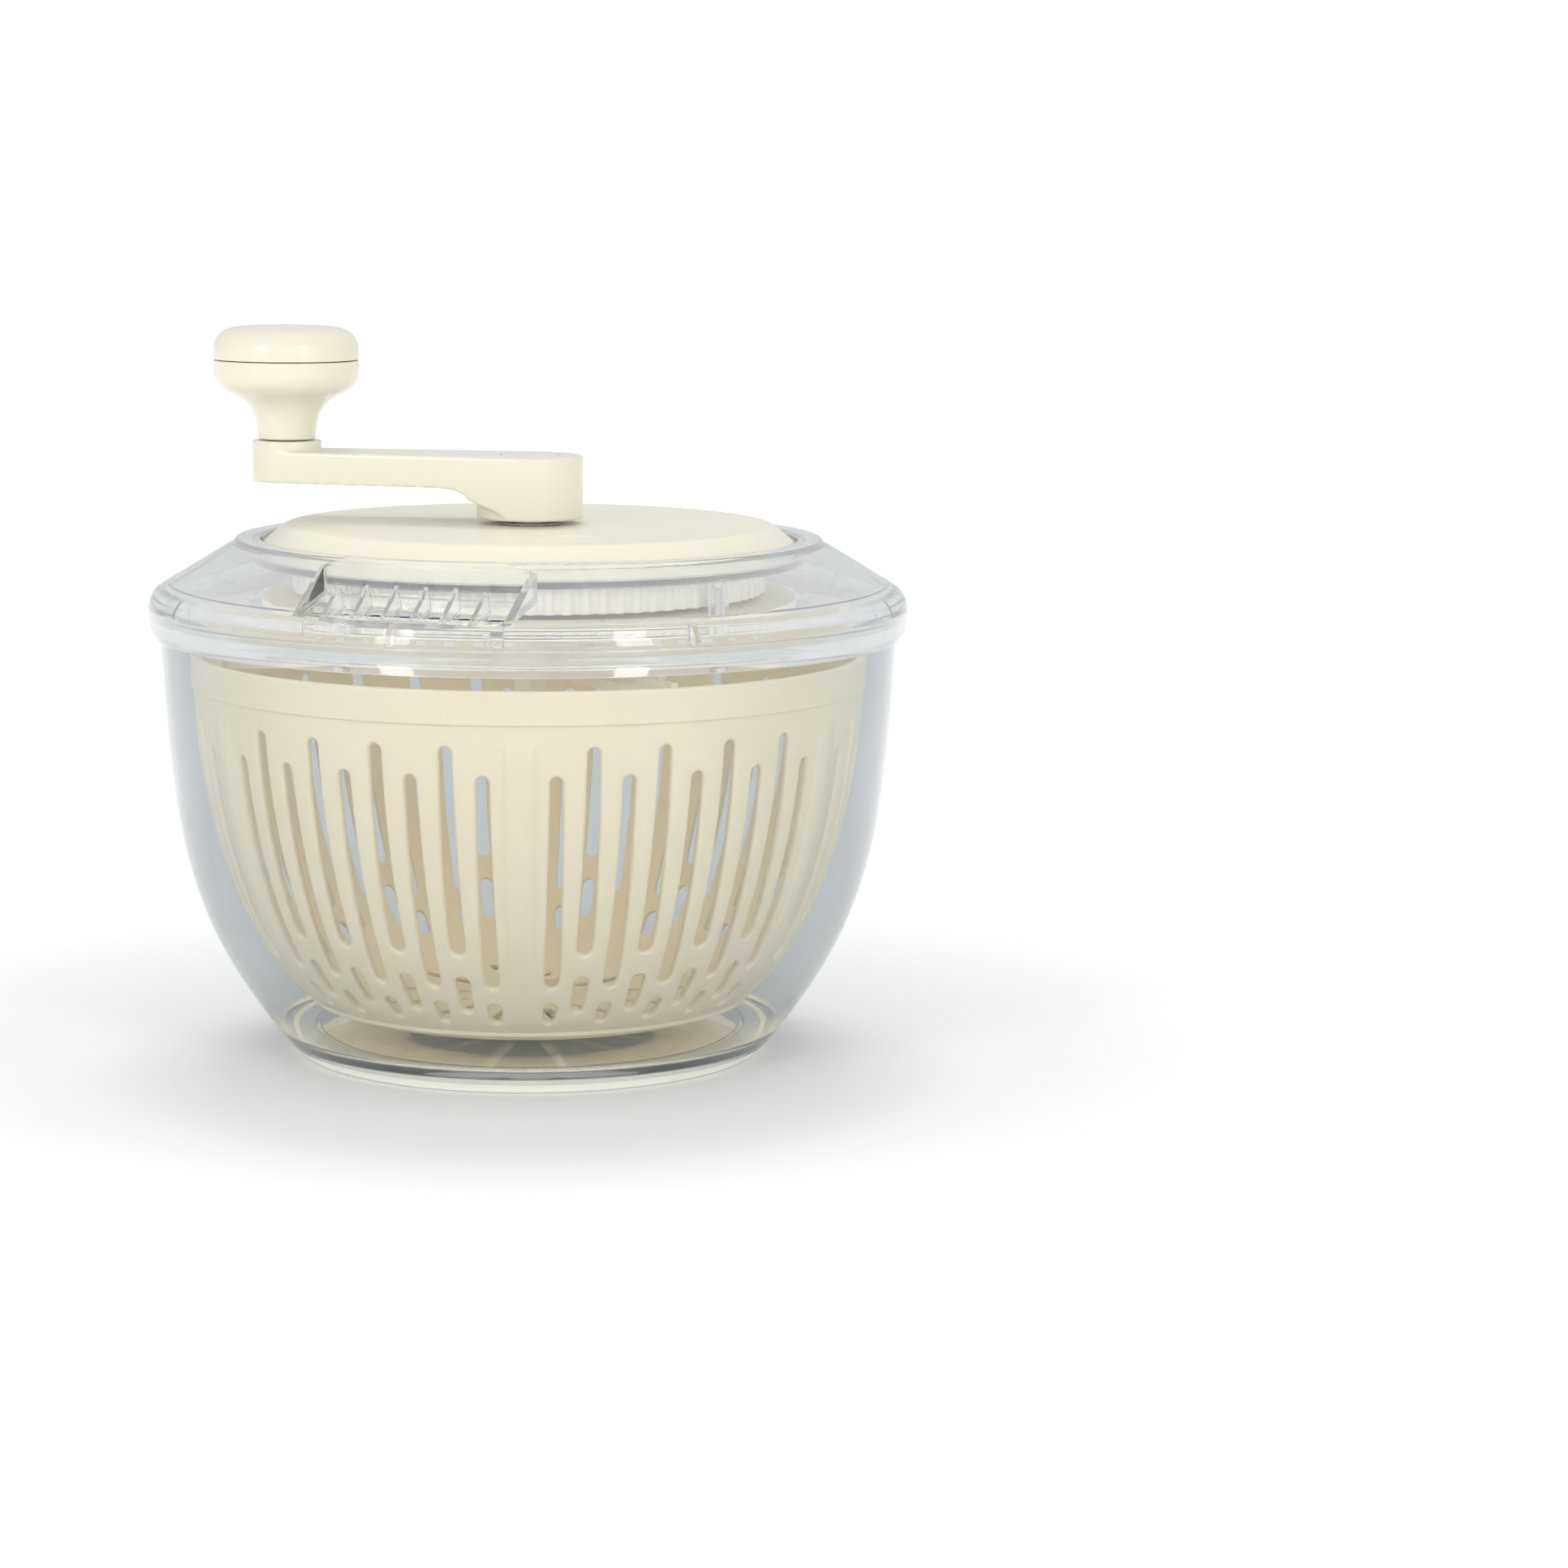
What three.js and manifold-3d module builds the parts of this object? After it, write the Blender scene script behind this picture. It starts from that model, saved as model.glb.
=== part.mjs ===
// A hand-cranked salad spinner: clear bowl and lid, slotted basket, and a planetary gear drive in the lid.
// Millimetres, +Z up. The origin is on the surface that the spinner stands on, on the axis of the bowl.
// The front is -Y. The crank turns a ring gear, three fixed idlers turn the sun gear the other way,
// and the sun gear's hexagonal shaft turns the carrier whose lugs drive the basket.
import * as THREE from "three";
import { mergeVertices } from "three/addons/utils/BufferGeometryUtils.js";
import Module from "manifold-3d";

// ---- Driving dimensions ----
const LID_RADIUS = 125; // largest radius of the whole spinner
const BOWL_RIM_Z = 147; // top of the bowl's rim
const BOWL_WALL = 2;
const BOWL_FLOOR = 2.4;
const FOOT_RADIUS = 80; // outer radius of the bowl's foot
const FOOT_Z = 3.4; // lower edge of the bowl's foot, above the rubber ring
const FOOT_RING_INSET = 3; // the rubber ring's edge lies this far inside the foot's edge
const FOOT_RING_WIDTH = 5;
const FOOT_GROOVE_DEPTH = 3;

const LID_WALL = 2.2;
const SKIRT_HEIGHT = 8.4; // how far the lid's skirt hangs below the bowl's rim
const SKIRT_CLEARANCE = 0.5; // between the bowl's rim and the lid's skirt
const SHOULDER_WIDTH = 5; // from the lid's edge in to where the cone begins
const SHOULDER_RISE = 8.4; // of the cone's lower edge above the bowl's rim
const CONE_RISE = 23.6; // of the lid's flat ridge above the bowl's rim
const RIDGE_WIDTH = 7.8; // of the flat ridge round the recess
const RECESS_DEPTH = 7.4; // of the recess that holds the gear cover
const RECESS_FLOOR = 2;
const LOCATING_DEPTH = 5.3; // how far the locating wall reaches into the bowl
const LOCATING_WALL = 1.8;
const LOCATING_ROOM = 2; // between the locating wall and the bowl's rim
const TAB_COUNT = 8;
const TAB_WIDTH = 1.8;
const TAB_PHASE = -20.5; // azimuth of the first tab, in degrees

const BASKET_BOTTOM_Z = 14.4;
const BASKET_BOTTOM_RADIUS = 58;
const BASKET_DROP = 13.8; // from the bowl's rim down to the basket's rim
const BASKET_BAND_HEIGHT = 10.7;
const BASKET_BAND_STEP = 0.8; // how far the rim band stands out from the side
const BASKET_ROOM = 8.3; // between the rim band and the bowl's inside at its rim
const BASKET_WALL = 2.2;
const BASKET_FLOOR = 2.4;
const BASKET_HUB_HEIGHT = 9.6;
const BASKET_HUB_RADIUS = 10.6;
const RIB_WIDTH = 2.4; // of the ribs that the carrier's lugs push on
const PANEL_COUNT = 6; // blank raised panels round the basket
const PANEL_PHASE = -1.7; // azimuth of the front panel, in degrees
const PANEL_WIDTH = 9.5;
const PANEL_STEP = 0.7;
const SLOTS_PER_BAY = 9;
const DRAIN_WIDTH = 4; // of the drain slots in the basket's floor

const COVER_RISE = 4.4; // of the cover's flat top above the lid's ridge
const COVER_WALL = 2.4;
const COVER_BEVEL_HEIGHT = 6;
const COVER_BEVEL_WIDTH = 7.4;
const DIMPLE_PLACE = [13.5, -57, 0];
const DIMPLE_RADIUS = 7.2;
const DIMPLE_DEPTH = 0.8;
const DIMPLE_RIM_RADIUS = 11;
const DIMPLE_RIM_HEIGHT = 0.5;

const MODULE = 1.75; // gear module
const RING_TEETH = 84;
const PLANET_TEETH = 30;
const SUN_TEETH = 24;
const PLANETS = 3;
const BACKLASH = 0.3;
const GEAR_WIDTH = 6;
const RING_WALL = 2.3; // material outside the roots of the ring gear's teeth
const RING_RIDGE = 0.9; // height of the ridges round the ring gear
const RING_WEB = 2;
const BASE_THICKNESS = 2.4;
const BASE_BOSS = 1.6; // bosses that hold the planets off the base plate

const CRANK_REACH = 83; // from the crank's axis to the knob's axis
const CRANK_AZIMUTH = 256; // of the knob, anticlockwise from the front as seen from above
const HUB_RADIUS = 17.5;
const HUB_LIFT = 1.6; // of the crank's hub above the cover
const BOSS_RADIUS = 11.4;
const ARM_RISE = 22.4; // of the arm's top above the cover
const ARM_THICKNESS = 10.4;
const ARM_INSET = 0.5; // the arm is narrower than the hub by this much each side
const BOSS_RISE = 3.2; // how far the knob's boss stands above the arm
const BOSS_LIFT = 1.5; // of the boss's lower face above the arm's
const BOSS_FLOOR = 1.6;
const ARCH_LENGTH = 11.4; // of the low arch under the arm, where it meets the hub
const ARCH_HEIGHT = 3.6;
const CAP_RADIUS = 9.6;
const CAP_THICKNESS = 1.9;

const KNOB_RADIUS = 24;
const KNOB_NECK_RADIUS = 9.4;
const KNOB_HEIGHT = 37.4;
const KNOB_CAP_HEIGHT = 11.4;
const KNOB_WALL = 5;
const KNOB_SEAT = 14; // of the knob pin's head above the knob's lower end

const SPOUT_AZIMUTH = -20.2; // of the spout's middle, in degrees
const SPOUT_WIDTH = 68;
const SPOUT_WALL = 1.6;
const SPOUT_DEPTH = 13.2; // of the tray's floor below the cone at the spout's back
const SPOUT_LIP = 1.6; // of the tray's floor below the shoulder at the spout's front
const SPOUT_FINS = 6;
const FIN_THICKNESS = 1.4;

const SHAFT_RADIUS = 6; // crank shaft and drive shaft
const BUSH_WALL = 3.2;
const BUSH_FLANGE_WIDTH = 3.4;
const BUSH_FLANGE = 2; // thickness of a bush's flange
const FLANGE_THICKNESS = 1.2; // of the crank shaft's flange
const FLANGE_RADIUS = 10;
const HEX_ACROSS_FLATS = 10;
const CLIP_THICKNESS = 1.2;
const PIN_RADIUS = 2; // of a planet's pin
const KNOB_PIN_RADIUS = 3;
const KNOB_HEAD_RADIUS = 6;
const KNOB_HEAD = 2.4;
const SCREW_RADIUS = 1.2;
const SCREW_HEAD_RADIUS = 3;
const SCREW_HEAD = 1.6;
const SCREW_COUNT = 4;
const SCREW_BOSS_RADIUS = 3.2;
const CRANK_SCREW_RADIUS = 1.9;
const CRANK_SCREW_HEAD_RADIUS = 4.8;
const CRANK_SCREW_HEAD = 2.7;
const CRANK_SCREW_GRIP = 10; // how far the crank's screw reaches into the shaft

const PIVOT_RADIUS = 2.6; // pin in the middle of the bowl's floor
const PIVOT_HEIGHT = 9;
const PIVOT_BOSS_RADIUS = 7;
const PIVOT_BOSS_HEIGHT = 2.6;
const BEARING_RADIUS = 6.2;
const BEARING_FLANGE_RADIUS = 9;
const BEARING_LIP = 1; // how far the snap lip reaches over the basket's hub

const CARRIER_ARMS = PANEL_COUNT / 2;
const ARM_PHASE = PANEL_PHASE + 180 / PANEL_COUNT; // the carrier's arms lie between the panels
const CARRIER_PLATE = 3;
const CARRIER_RIB = 2.4;
const CARRIER_HUB_RADIUS = 13;
const CARRIER_DEPTH = 6.2; // of the arms below the basket's rim
const LUG_WIDTH = 12;
const LUG_DEPTH = 4; // of the lugs below the arms
const LUG_LENGTH = 4;
const SHAFT_TAIL = 14; // of the drive shaft's hexagon below the carrier

const GAP = 0.3; // between pieces that touch
const RUN = 0.4; // between pieces that turn past each other
const OVER = 1; // by which a cutter or a joined piece passes a face
const FINE = 48; // sides of large round pieces
const MEDIUM = 24; // sides of middling ones
const SMALL = 16; // sides of small ones
const TINY = 12; // sides of pins and screws

// ---- Sizes worked out from them: bowl, basket and lid ----
const SKIRT_RADIUS = LID_RADIUS - LID_WALL - 0.8; // inside of the skirt
const SKIRT_Z = BOWL_RIM_Z - SKIRT_HEIGHT;
const BOWL_RIM_RADIUS = SKIRT_RADIUS - SKIRT_CLEARANCE;
const FOOT_RING_OUTER = FOOT_RADIUS - FOOT_RING_INSET;
const FOOT_RING_INNER = FOOT_RING_OUTER - FOOT_RING_WIDTH;
const BOWL_FLOOR_Z = FOOT_Z + FOOT_GROOVE_DEPTH + BOWL_FLOOR;
const BOWL_BOSS_Z = BOWL_FLOOR_Z + PIVOT_BOSS_HEIGHT;
const PIVOT_TOP_Z = BOWL_BOSS_Z + PIVOT_HEIGHT;
const LOCATING_RADIUS = BOWL_RIM_RADIUS - BOWL_WALL - LOCATING_ROOM; // outside of the locating wall
const BASKET_TOP_Z = BOWL_RIM_Z - BASKET_DROP;
const BASKET_BAND_Z = BASKET_TOP_Z - BASKET_BAND_HEIGHT;
const BASKET_BAND_RADIUS = BOWL_RIM_RADIUS - BOWL_WALL - BASKET_ROOM;
const BASKET_RIM_INNER = BASKET_BAND_RADIUS - BASKET_WALL - BASKET_BAND_STEP;
const BASKET_HUB_Z = BASKET_BOTTOM_Z + BASKET_HUB_HEIGHT;

// ---- Gears, from which the lid's recess takes its radius ----
const PLANET_ORBIT = (MODULE * (SUN_TEETH + PLANET_TEETH)) / 2;
const ADDENDUM = 0.95 * MODULE;
const DEDENDUM = 1.25 * MODULE;
const RING_RADIUS = (MODULE * RING_TEETH) / 2 + DEDENDUM + RING_WALL;
const SCREW_ORBIT = RING_RADIUS + SCREW_BOSS_RADIUS + 7 * RUN;
const RECESS_RADIUS = SCREW_ORBIT + SCREW_BOSS_RADIUS + 1;
const BASE_RADIUS = RECESS_RADIUS - 0.2;
const COVER_RADIUS = RECESS_RADIUS - 2 * RUN;
const COVER_FLAT_RADIUS = COVER_RADIUS - COVER_BEVEL_WIDTH;
const RIDGE_RADIUS = RECESS_RADIUS + RIDGE_WIDTH;
const SHOULDER_RADIUS = LID_RADIUS - SHOULDER_WIDTH;
const SHOULDER_Z = BOWL_RIM_Z + SHOULDER_RISE;
const RIDGE_Z = BOWL_RIM_Z + CONE_RISE;
const RECESS_FLOOR_Z = RIDGE_Z - RECESS_DEPTH;
const COVER_TOP_Z = RIDGE_Z + COVER_RISE;
const WEB_TOP_Z = RECESS_FLOOR_Z - RECESS_FLOOR - 2 * RUN;
const WEB_Z = WEB_TOP_Z - RING_WEB;
const GEAR_TOP_Z = WEB_Z - 1;
const GEAR_Z = GEAR_TOP_Z - GEAR_WIDTH;
const FLANGE_Z = WEB_Z - GAP - FLANGE_THICKNESS;
const SUN_TOP_Z = FLANGE_Z - RUN;
const BASE_TOP_Z = GEAR_Z - GAP - BASE_BOSS;
const BASE_Z = BASE_TOP_Z - BASE_THICKNESS;
const BUSH_BORE = SHAFT_RADIUS + RUN;
const BUSH_RADIUS = BUSH_BORE + BUSH_WALL;
const BUSH_FLANGE_RADIUS = BUSH_RADIUS + BUSH_FLANGE_WIDTH;

// ---- Crank, knob and drive ----
const HUB_Z = COVER_TOP_Z + HUB_LIFT;
const ARM_TOP_Z = COVER_TOP_Z + ARM_RISE;
const ARM_Z = ARM_TOP_Z - ARM_THICKNESS;
const BOSS_TOP_Z = ARM_TOP_Z + BOSS_RISE;
const BOSS_Z = ARM_Z + BOSS_LIFT;
const HEAD_SEAT_Z = ARM_TOP_Z - CAP_THICKNESS - CRANK_SCREW_HEAD - 4 * GAP;
const SHAFT_TOP_Z = HEAD_SEAT_Z - 3;
const KNOB_Z = BOSS_TOP_Z + RUN;
const KNOB_TOP_Z = KNOB_Z + KNOB_HEIGHT;
const KNOB_SPLIT_Z = KNOB_TOP_Z - KNOB_CAP_HEIGHT;
const PIN_HEAD_Z = KNOB_Z + KNOB_SEAT;
const CARRIER_Z = BASKET_TOP_Z - CARRIER_DEPTH;
const CARRIER_HUB_Z = BASE_Z - BUSH_FLANGE - 3 - GAP;
const CLIP_Z = CARRIER_HUB_Z + 1.2;
const LUG_OUTER = BASKET_RIM_INNER - 1.8;
const SHAFT_BOTTOM_Z = CARRIER_Z - SHAFT_TAIL;

const wasm = await Module();
wasm.setup();

// ---- Geometry helpers ----
const vec = (x, y) => new THREE.Vector2(x, y);
const radians = THREE.MathUtils.degToRad;

// Turns a closed geometry into a solid, leaving out triangles that shrank to nothing.
function solidOf(geometry) {
  geometry.deleteAttribute("normal");
  geometry.deleteAttribute("uv");
  const merged = mergeVertices(geometry, 1e-4);
  const index = merged.index.array;
  const triangles = [];
  for (let i = 0; i < index.length; i += 3) {
    const [a, b, c] = [index[i], index[i + 1], index[i + 2]];
    if (a !== b && b !== c && c !== a) triangles.push(a, b, c);
  }
  const vertProperties = merged.attributes.position.array;
  const mesh = new wasm.Mesh({ numProp: 3, vertProperties, triVerts: new Uint32Array(triangles) });
  return new wasm.Manifold(mesh);
}

// Turns a profile of [radius, z] points about the Z axis. The points run anticlockwise.
function turned(points, sides = FINE) {
  const profile = points.map(([r, z]) => vec(r, z));
  if (points[0][0] > 0) profile.push(profile[0].clone());
  const geometry = new THREE.LatheGeometry(profile, sides);
  geometry.rotateX(Math.PI / 2);
  return solidOf(geometry);
}

const disc = (r, z0, z1, sides = SMALL) => turned([[0, z0], [r, z0], [r, z1], [0, z1]], sides);

function ring(inner, outer, z0, z1, sides = FINE) {
  return turned([[inner, z0], [outer, z0], [outer, z1], [inner, z1]], sides);
}

// Raises an outline of [x, y] points from z0 to z1.
function prism(outline, z0, z1) {
  const shape = new THREE.Shape(outline.map(([x, y]) => vec(x, y)));
  const geometry = new THREE.ExtrudeGeometry(shape, { depth: z1 - z0, bevelEnabled: false });
  geometry.translate(0, 0, z0);
  return solidOf(geometry);
}

// Stands an outline of [distance from the axis, z] points up, facing the front, width wide in X.
function upright(outline, width) {
  const shape = new THREE.Shape(outline.map(([d, z]) => vec(d, z)));
  const geometry = new THREE.ExtrudeGeometry(shape, { depth: width, bevelEnabled: false });
  geometry.translate(0, 0, -width / 2);
  geometry.rotateX(Math.PI / 2);
  geometry.rotateZ(-Math.PI / 2);
  return solidOf(geometry);
}

// Cuts an outline of [across, z] points along the line from the axis to the front.
function radial(outline, near, far) {
  const shape = new THREE.Shape(outline.map(([x, z]) => vec(x, z)));
  const geometry = new THREE.ExtrudeGeometry(shape, { depth: far - near, bevelEnabled: false });
  geometry.rotateX(Math.PI / 2);
  geometry.translate(0, -near, 0);
  return solidOf(geometry);
}

function box(x0, x1, y0, y1, z0, z1) {
  const geometry = new THREE.BoxGeometry(x1 - x0, y1 - y0, z1 - z0);
  geometry.translate((x0 + x1) / 2, (y0 + y1) / 2, (z0 + z1) / 2);
  return solidOf(geometry);
}

// A basket's wall has one flat side for each slot or panel, so that no cut crosses a corner.
function basketTurned(points) {
  const places = PANEL_COUNT * (SLOTS_PER_BAY + 1);
  return turned(points, places).rotate([0, 0, PANEL_PHASE - 90 + 180 / places]);
}

const joined = (solids) => solids.reduce((sum, solid) => sum.add(solid));
const cut = (solid, cutters) => cutters.reduce((rest, cutter) => rest.subtract(cutter), solid);

// Turns a solid that faces the front to an azimuth, anticlockwise as seen from above.
const toAzimuth = (solid, degrees) => solid.rotate([0, 0, degrees]);
const hexagon = (flats, z0, z1) => disc(flats / Math.sqrt(3), z0, z1, 6);

// Points moved inwards from a [radius, z] curve, across each point's tangent.
function inset(points, wall) {
  return points.map(([r, z], i) => {
    const [r0, z0] = points[Math.max(i - 1, 0)];
    const [r1, z1] = points[Math.min(i + 1, points.length - 1)];
    const length = Math.hypot(r1 - r0, z1 - z0);
    return [r - (wall * (z1 - z0)) / length, z + (wall * (r1 - r0)) / length];
  });
}

// A vessel's side as a cubic curve, as [radius, z] points from the foot up.
function sideCurve(foot, low, high, rim, steps) {
  const curve = new THREE.CubicBezierCurve(vec(...foot), vec(...low), vec(...high), vec(...rim));
  return curve.getPoints(steps).map((p) => [p.x, p.y]);
}

// The outline of an external gear, from x = 0 anticlockwise, with the first tooth at turn radians.
function gearOutline(teeth, addendum, dedendum, halfTooth, turn) {
  const pitch = (MODULE * teeth) / 2;
  const slope = Math.tan(radians(20));
  const tip = pitch + addendum;
  const root = pitch - dedendum;
  const atTip = (halfTooth - addendum * slope) / tip;
  const atRoot = (halfTooth + dedendum * slope) / root;
  const corners = [[root, -atRoot], [tip, -atTip], [tip, atTip], [root, atRoot]];
  const outline = [];
  for (let i = 0; i < teeth; i++) {
    const middle = turn + (2 * Math.PI * i) / teeth;
    for (const [r, a] of corners) outline.push([r * Math.cos(middle + a), r * Math.sin(middle + a)]);
  }
  return outline;
}

// ---- Bowl ----
function bowlSide(steps) {
  const rise = BOWL_RIM_Z - FOOT_Z;
  const flare = BOWL_RIM_RADIUS - FOOT_RADIUS;
  const foot = [FOOT_RADIUS, FOOT_Z];
  const low = [FOOT_RADIUS + 0.85 * flare, FOOT_Z + 0.3 * rise];
  const high = [FOOT_RADIUS + 0.92 * flare, FOOT_Z + 0.5 * rise];
  return sideCurve(foot, low, high, [BOWL_RIM_RADIUS, BOWL_RIM_Z], steps);
}

function outerBowl() {
  const side = bowlSide(8);
  const outside = turned([[0, FOOT_Z], ...side, [0, BOWL_RIM_Z]]);
  const hollow = inset(side, BOWL_WALL);
  const [topR] = hollow[hollow.length - 1];
  const above = BOWL_RIM_Z + OVER;
  const inside = turned([[0, FOOT_Z], ...hollow, [topR, above], [0, above]]);
  const room = inside.subtract(disc(LID_RADIUS, 0, BOWL_FLOOR_Z));
  const under = disc(FOOT_RING_INNER - 2, 0, BOWL_FLOOR_Z - BOWL_FLOOR, FINE);
  const groove = ring(FOOT_RING_INNER - GAP, FOOT_RING_OUTER + GAP, 0, FOOT_Z + FOOT_GROOVE_DEPTH);
  const point = [[PIVOT_RADIUS, PIVOT_TOP_Z - 1.4], [PIVOT_RADIUS - 1.2, PIVOT_TOP_Z], [0, PIVOT_TOP_Z]];
  const pivot = [[0, BOWL_BOSS_Z - OVER], [PIVOT_RADIUS, BOWL_BOSS_Z - OVER], ...point];
  const boss = disc(PIVOT_BOSS_RADIUS, BOWL_FLOOR_Z - OVER, BOWL_BOSS_Z);
  return joined([cut(outside, [room, under, groove]), boss, turned(pivot, SMALL)]);
}

function footRing() {
  return ring(FOOT_RING_INNER, FOOT_RING_OUTER, 0, FOOT_Z + FOOT_GROOVE_DEPTH - GAP);
}

// ---- Basket and the bearing in its floor ----
function basketSide(steps) {
  const rim = [BASKET_BAND_RADIUS - BASKET_BAND_STEP, BASKET_BAND_Z];
  const rise = BASKET_BAND_Z - BASKET_BOTTOM_Z;
  const flare = rim[0] - BASKET_BOTTOM_RADIUS;
  const low = [BASKET_BOTTOM_RADIUS + 0.607 * flare, BASKET_BOTTOM_Z + 0.4];
  const high = [BASKET_BOTTOM_RADIUS + 0.977 * flare, BASKET_BOTTOM_Z + 0.565 * rise];
  return sideCurve([BASKET_BOTTOM_RADIUS, BASKET_BOTTOM_Z], low, high, rim, steps);
}

// A slot's outline, with its width at each end.
function slotOutline(z0, z1, lowWidth, topWidth) {
  const [a, b] = [lowWidth / 2, topWidth / 2];
  return [[-a, z0], [a, z0], [b, z1], [-b, z1]];
}

// A slot's heights are shares of the side's height, so that they follow it.
const atShare = (share) => BASKET_BOTTOM_Z + share * (BASKET_BAND_Z - BASKET_BOTTOM_Z);

function basketSlots() {
  const step = 360 / (PANEL_COUNT * (SLOTS_PER_BAY + 1));
  const near = BASKET_BOTTOM_RADIUS;
  const far = BASKET_BAND_RADIUS + OVER;
  const tall = radial(slotOutline(atShare(0.31), atShare(0.935), 5.2, 3.8), near, far);
  const tallFoot = radial(slotOutline(atShare(0.121), atShare(0.233), 4, 4.4), near, far);
  const short = radial(slotOutline(atShare(0.203), atShare(0.851), 5, 3.8), near, far);
  const shortFoot = radial(slotOutline(atShare(0.082), atShare(0.146), 4, 4), near, far);
  const kinds = [[short, shortFoot], [tall, tallFoot]];
  const slots = [];
  for (let bay = 0; bay < PANEL_COUNT; bay++) {
    for (let place = 1; place <= SLOTS_PER_BAY; place++) {
      const azimuth = PANEL_PHASE + step * (bay * (SLOTS_PER_BAY + 1) + place);
      for (const slot of kinds[(place + 1) % 2]) slots.push(toAzimuth(slot, azimuth));
    }
  }
  return slots;
}

function basketDrains() {
  const drains = [];
  const [near, far] = [2 * BASKET_HUB_RADIUS, BASKET_BOTTOM_RADIUS - 4];
  const [low, high] = [BASKET_BOTTOM_Z - OVER, BASKET_BOTTOM_Z + BASKET_FLOOR + OVER];
  for (let i = 0; i < 2 * PANEL_COUNT; i++) {
    const drain = box(-DRAIN_WIDTH / 2, DRAIN_WIDTH / 2, -far, -near, low, high);
    drains.push(toAzimuth(drain, PANEL_PHASE + (180 / PANEL_COUNT) * (i + 0.5)));
  }
  return drains;
}

// Two ribs inside the rim for each lug of the drive carrier.
function basketRibs() {
  const ribs = [];
  const half = RIB_WIDTH / 2;
  const [near, far] = [LUG_OUTER - LUG_LENGTH - OVER, BASKET_RIM_INNER + BASKET_WALL / 2];
  for (let i = 0; i < CARRIER_ARMS; i++) {
    for (const side of [-1, 1]) {
      const x = side * (LUG_WIDTH / 2 + 2 * RUN + half);
      const rib = box(x - half, x + half, -far, -near, CARRIER_Z - LUG_DEPTH, BASKET_TOP_Z - 2 * RUN);
      ribs.push(toAzimuth(rib, ARM_PHASE + (360 / CARRIER_ARMS) * i));
    }
  }
  return ribs;
}

function panels(side) {
  const proud = side.map(([r, z]) => [r + PANEL_STEP, z]);
  const skin = basketTurned([[0, proud[0][1]], ...proud, [0, BASKET_BAND_Z]]);
  const strips = [];
  for (let i = 0; i < PANEL_COUNT; i++) {
    const half = PANEL_WIDTH / 2;
    const strip = box(-half, half, -BASKET_BAND_RADIUS, -BASKET_BOTTOM_RADIUS, atShare(0.3), atShare(0.94));
    strips.push(toAzimuth(strip.intersect(skin), PANEL_PHASE + (360 / PANEL_COUNT) * i));
  }
  return strips;
}

function basket() {
  const side = basketSide(6);
  const band = [[BASKET_BAND_RADIUS, BASKET_BAND_Z], [BASKET_BAND_RADIUS, BASKET_TOP_Z]];
  const outside = basketTurned([[0, BASKET_BOTTOM_Z], ...side, ...band, [0, BASKET_TOP_Z]]);
  const floorZ = BASKET_BOTTOM_Z + BASKET_FLOOR;
  const hollow = inset(side, BASKET_WALL).filter(([, z]) => z > floorZ + OVER);
  const floorR = BASKET_BOTTOM_RADIUS - OVER;
  const above = BASKET_TOP_Z + OVER;
  const mouth = [[BASKET_RIM_INNER, above], [0, above]];
  const inside = basketTurned([[0, floorZ], [floorR, floorZ], ...hollow, ...mouth]);
  const wall = cut(outside.subtract(inside).add(joined(panels(side))), [inside]);
  const hub = disc(BASKET_HUB_RADIUS, BASKET_BOTTOM_Z, BASKET_HUB_Z);
  const bore = disc(BEARING_RADIUS + RUN, 0, BASKET_HUB_Z + OVER);
  return cut(joined([cut(wall, [...basketSlots(), ...basketDrains()]), hub, ...basketRibs()]), [bore]);
}

// A cup that stands on the bowl's pin; a flange and a snap lip hold it in the basket's hub.
function pivotBearing() {
  const foot = BOWL_BOSS_Z + GAP;
  const bore = PIVOT_RADIUS + GAP;
  const boreTop = PIVOT_TOP_Z + 2 * GAP;
  const shoulder = BASKET_BOTTOM_Z - RUN;
  const lipZ = BASKET_HUB_Z + GAP;
  const top = lipZ + 1.3;
  return turned([[bore, foot], [BEARING_FLANGE_RADIUS, foot], [BEARING_FLANGE_RADIUS, shoulder],
    [BEARING_RADIUS, shoulder], [BEARING_RADIUS, lipZ], [BEARING_RADIUS + BEARING_LIP, lipZ],
    [BEARING_RADIUS, top], [0, top], [0, boreTop], [bore, boreTop]], SMALL);
}

// ---- Lid ----
const ridgeEdge = [RIDGE_RADIUS + 1.4, RIDGE_Z - 1.6]; // where the cone meets the rounded ridge
const coneSlope = (ridgeEdge[1] - SHOULDER_Z) / (SHOULDER_RADIUS - ridgeEdge[0]);
const coneZ = (r) => SHOULDER_Z + (SHOULDER_RADIUS - r) * coneSlope;

// The outside of the lid from the skirt's lower edge up to the recess.
function lidOutside() {
  return [[SKIRT_RADIUS + 1.1, SKIRT_Z], [LID_RADIUS - 0.5, SKIRT_Z + 3], [LID_RADIUS, SKIRT_Z + 6.6],
    [LID_RADIUS, BOWL_RIM_Z + 1.4], [LID_RADIUS - 0.6, BOWL_RIM_Z + 4], [LID_RADIUS - 2.2, BOWL_RIM_Z + 6.6],
    [SHOULDER_RADIUS, SHOULDER_Z], ridgeEdge, [RIDGE_RADIUS, RIDGE_Z]];
}

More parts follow.
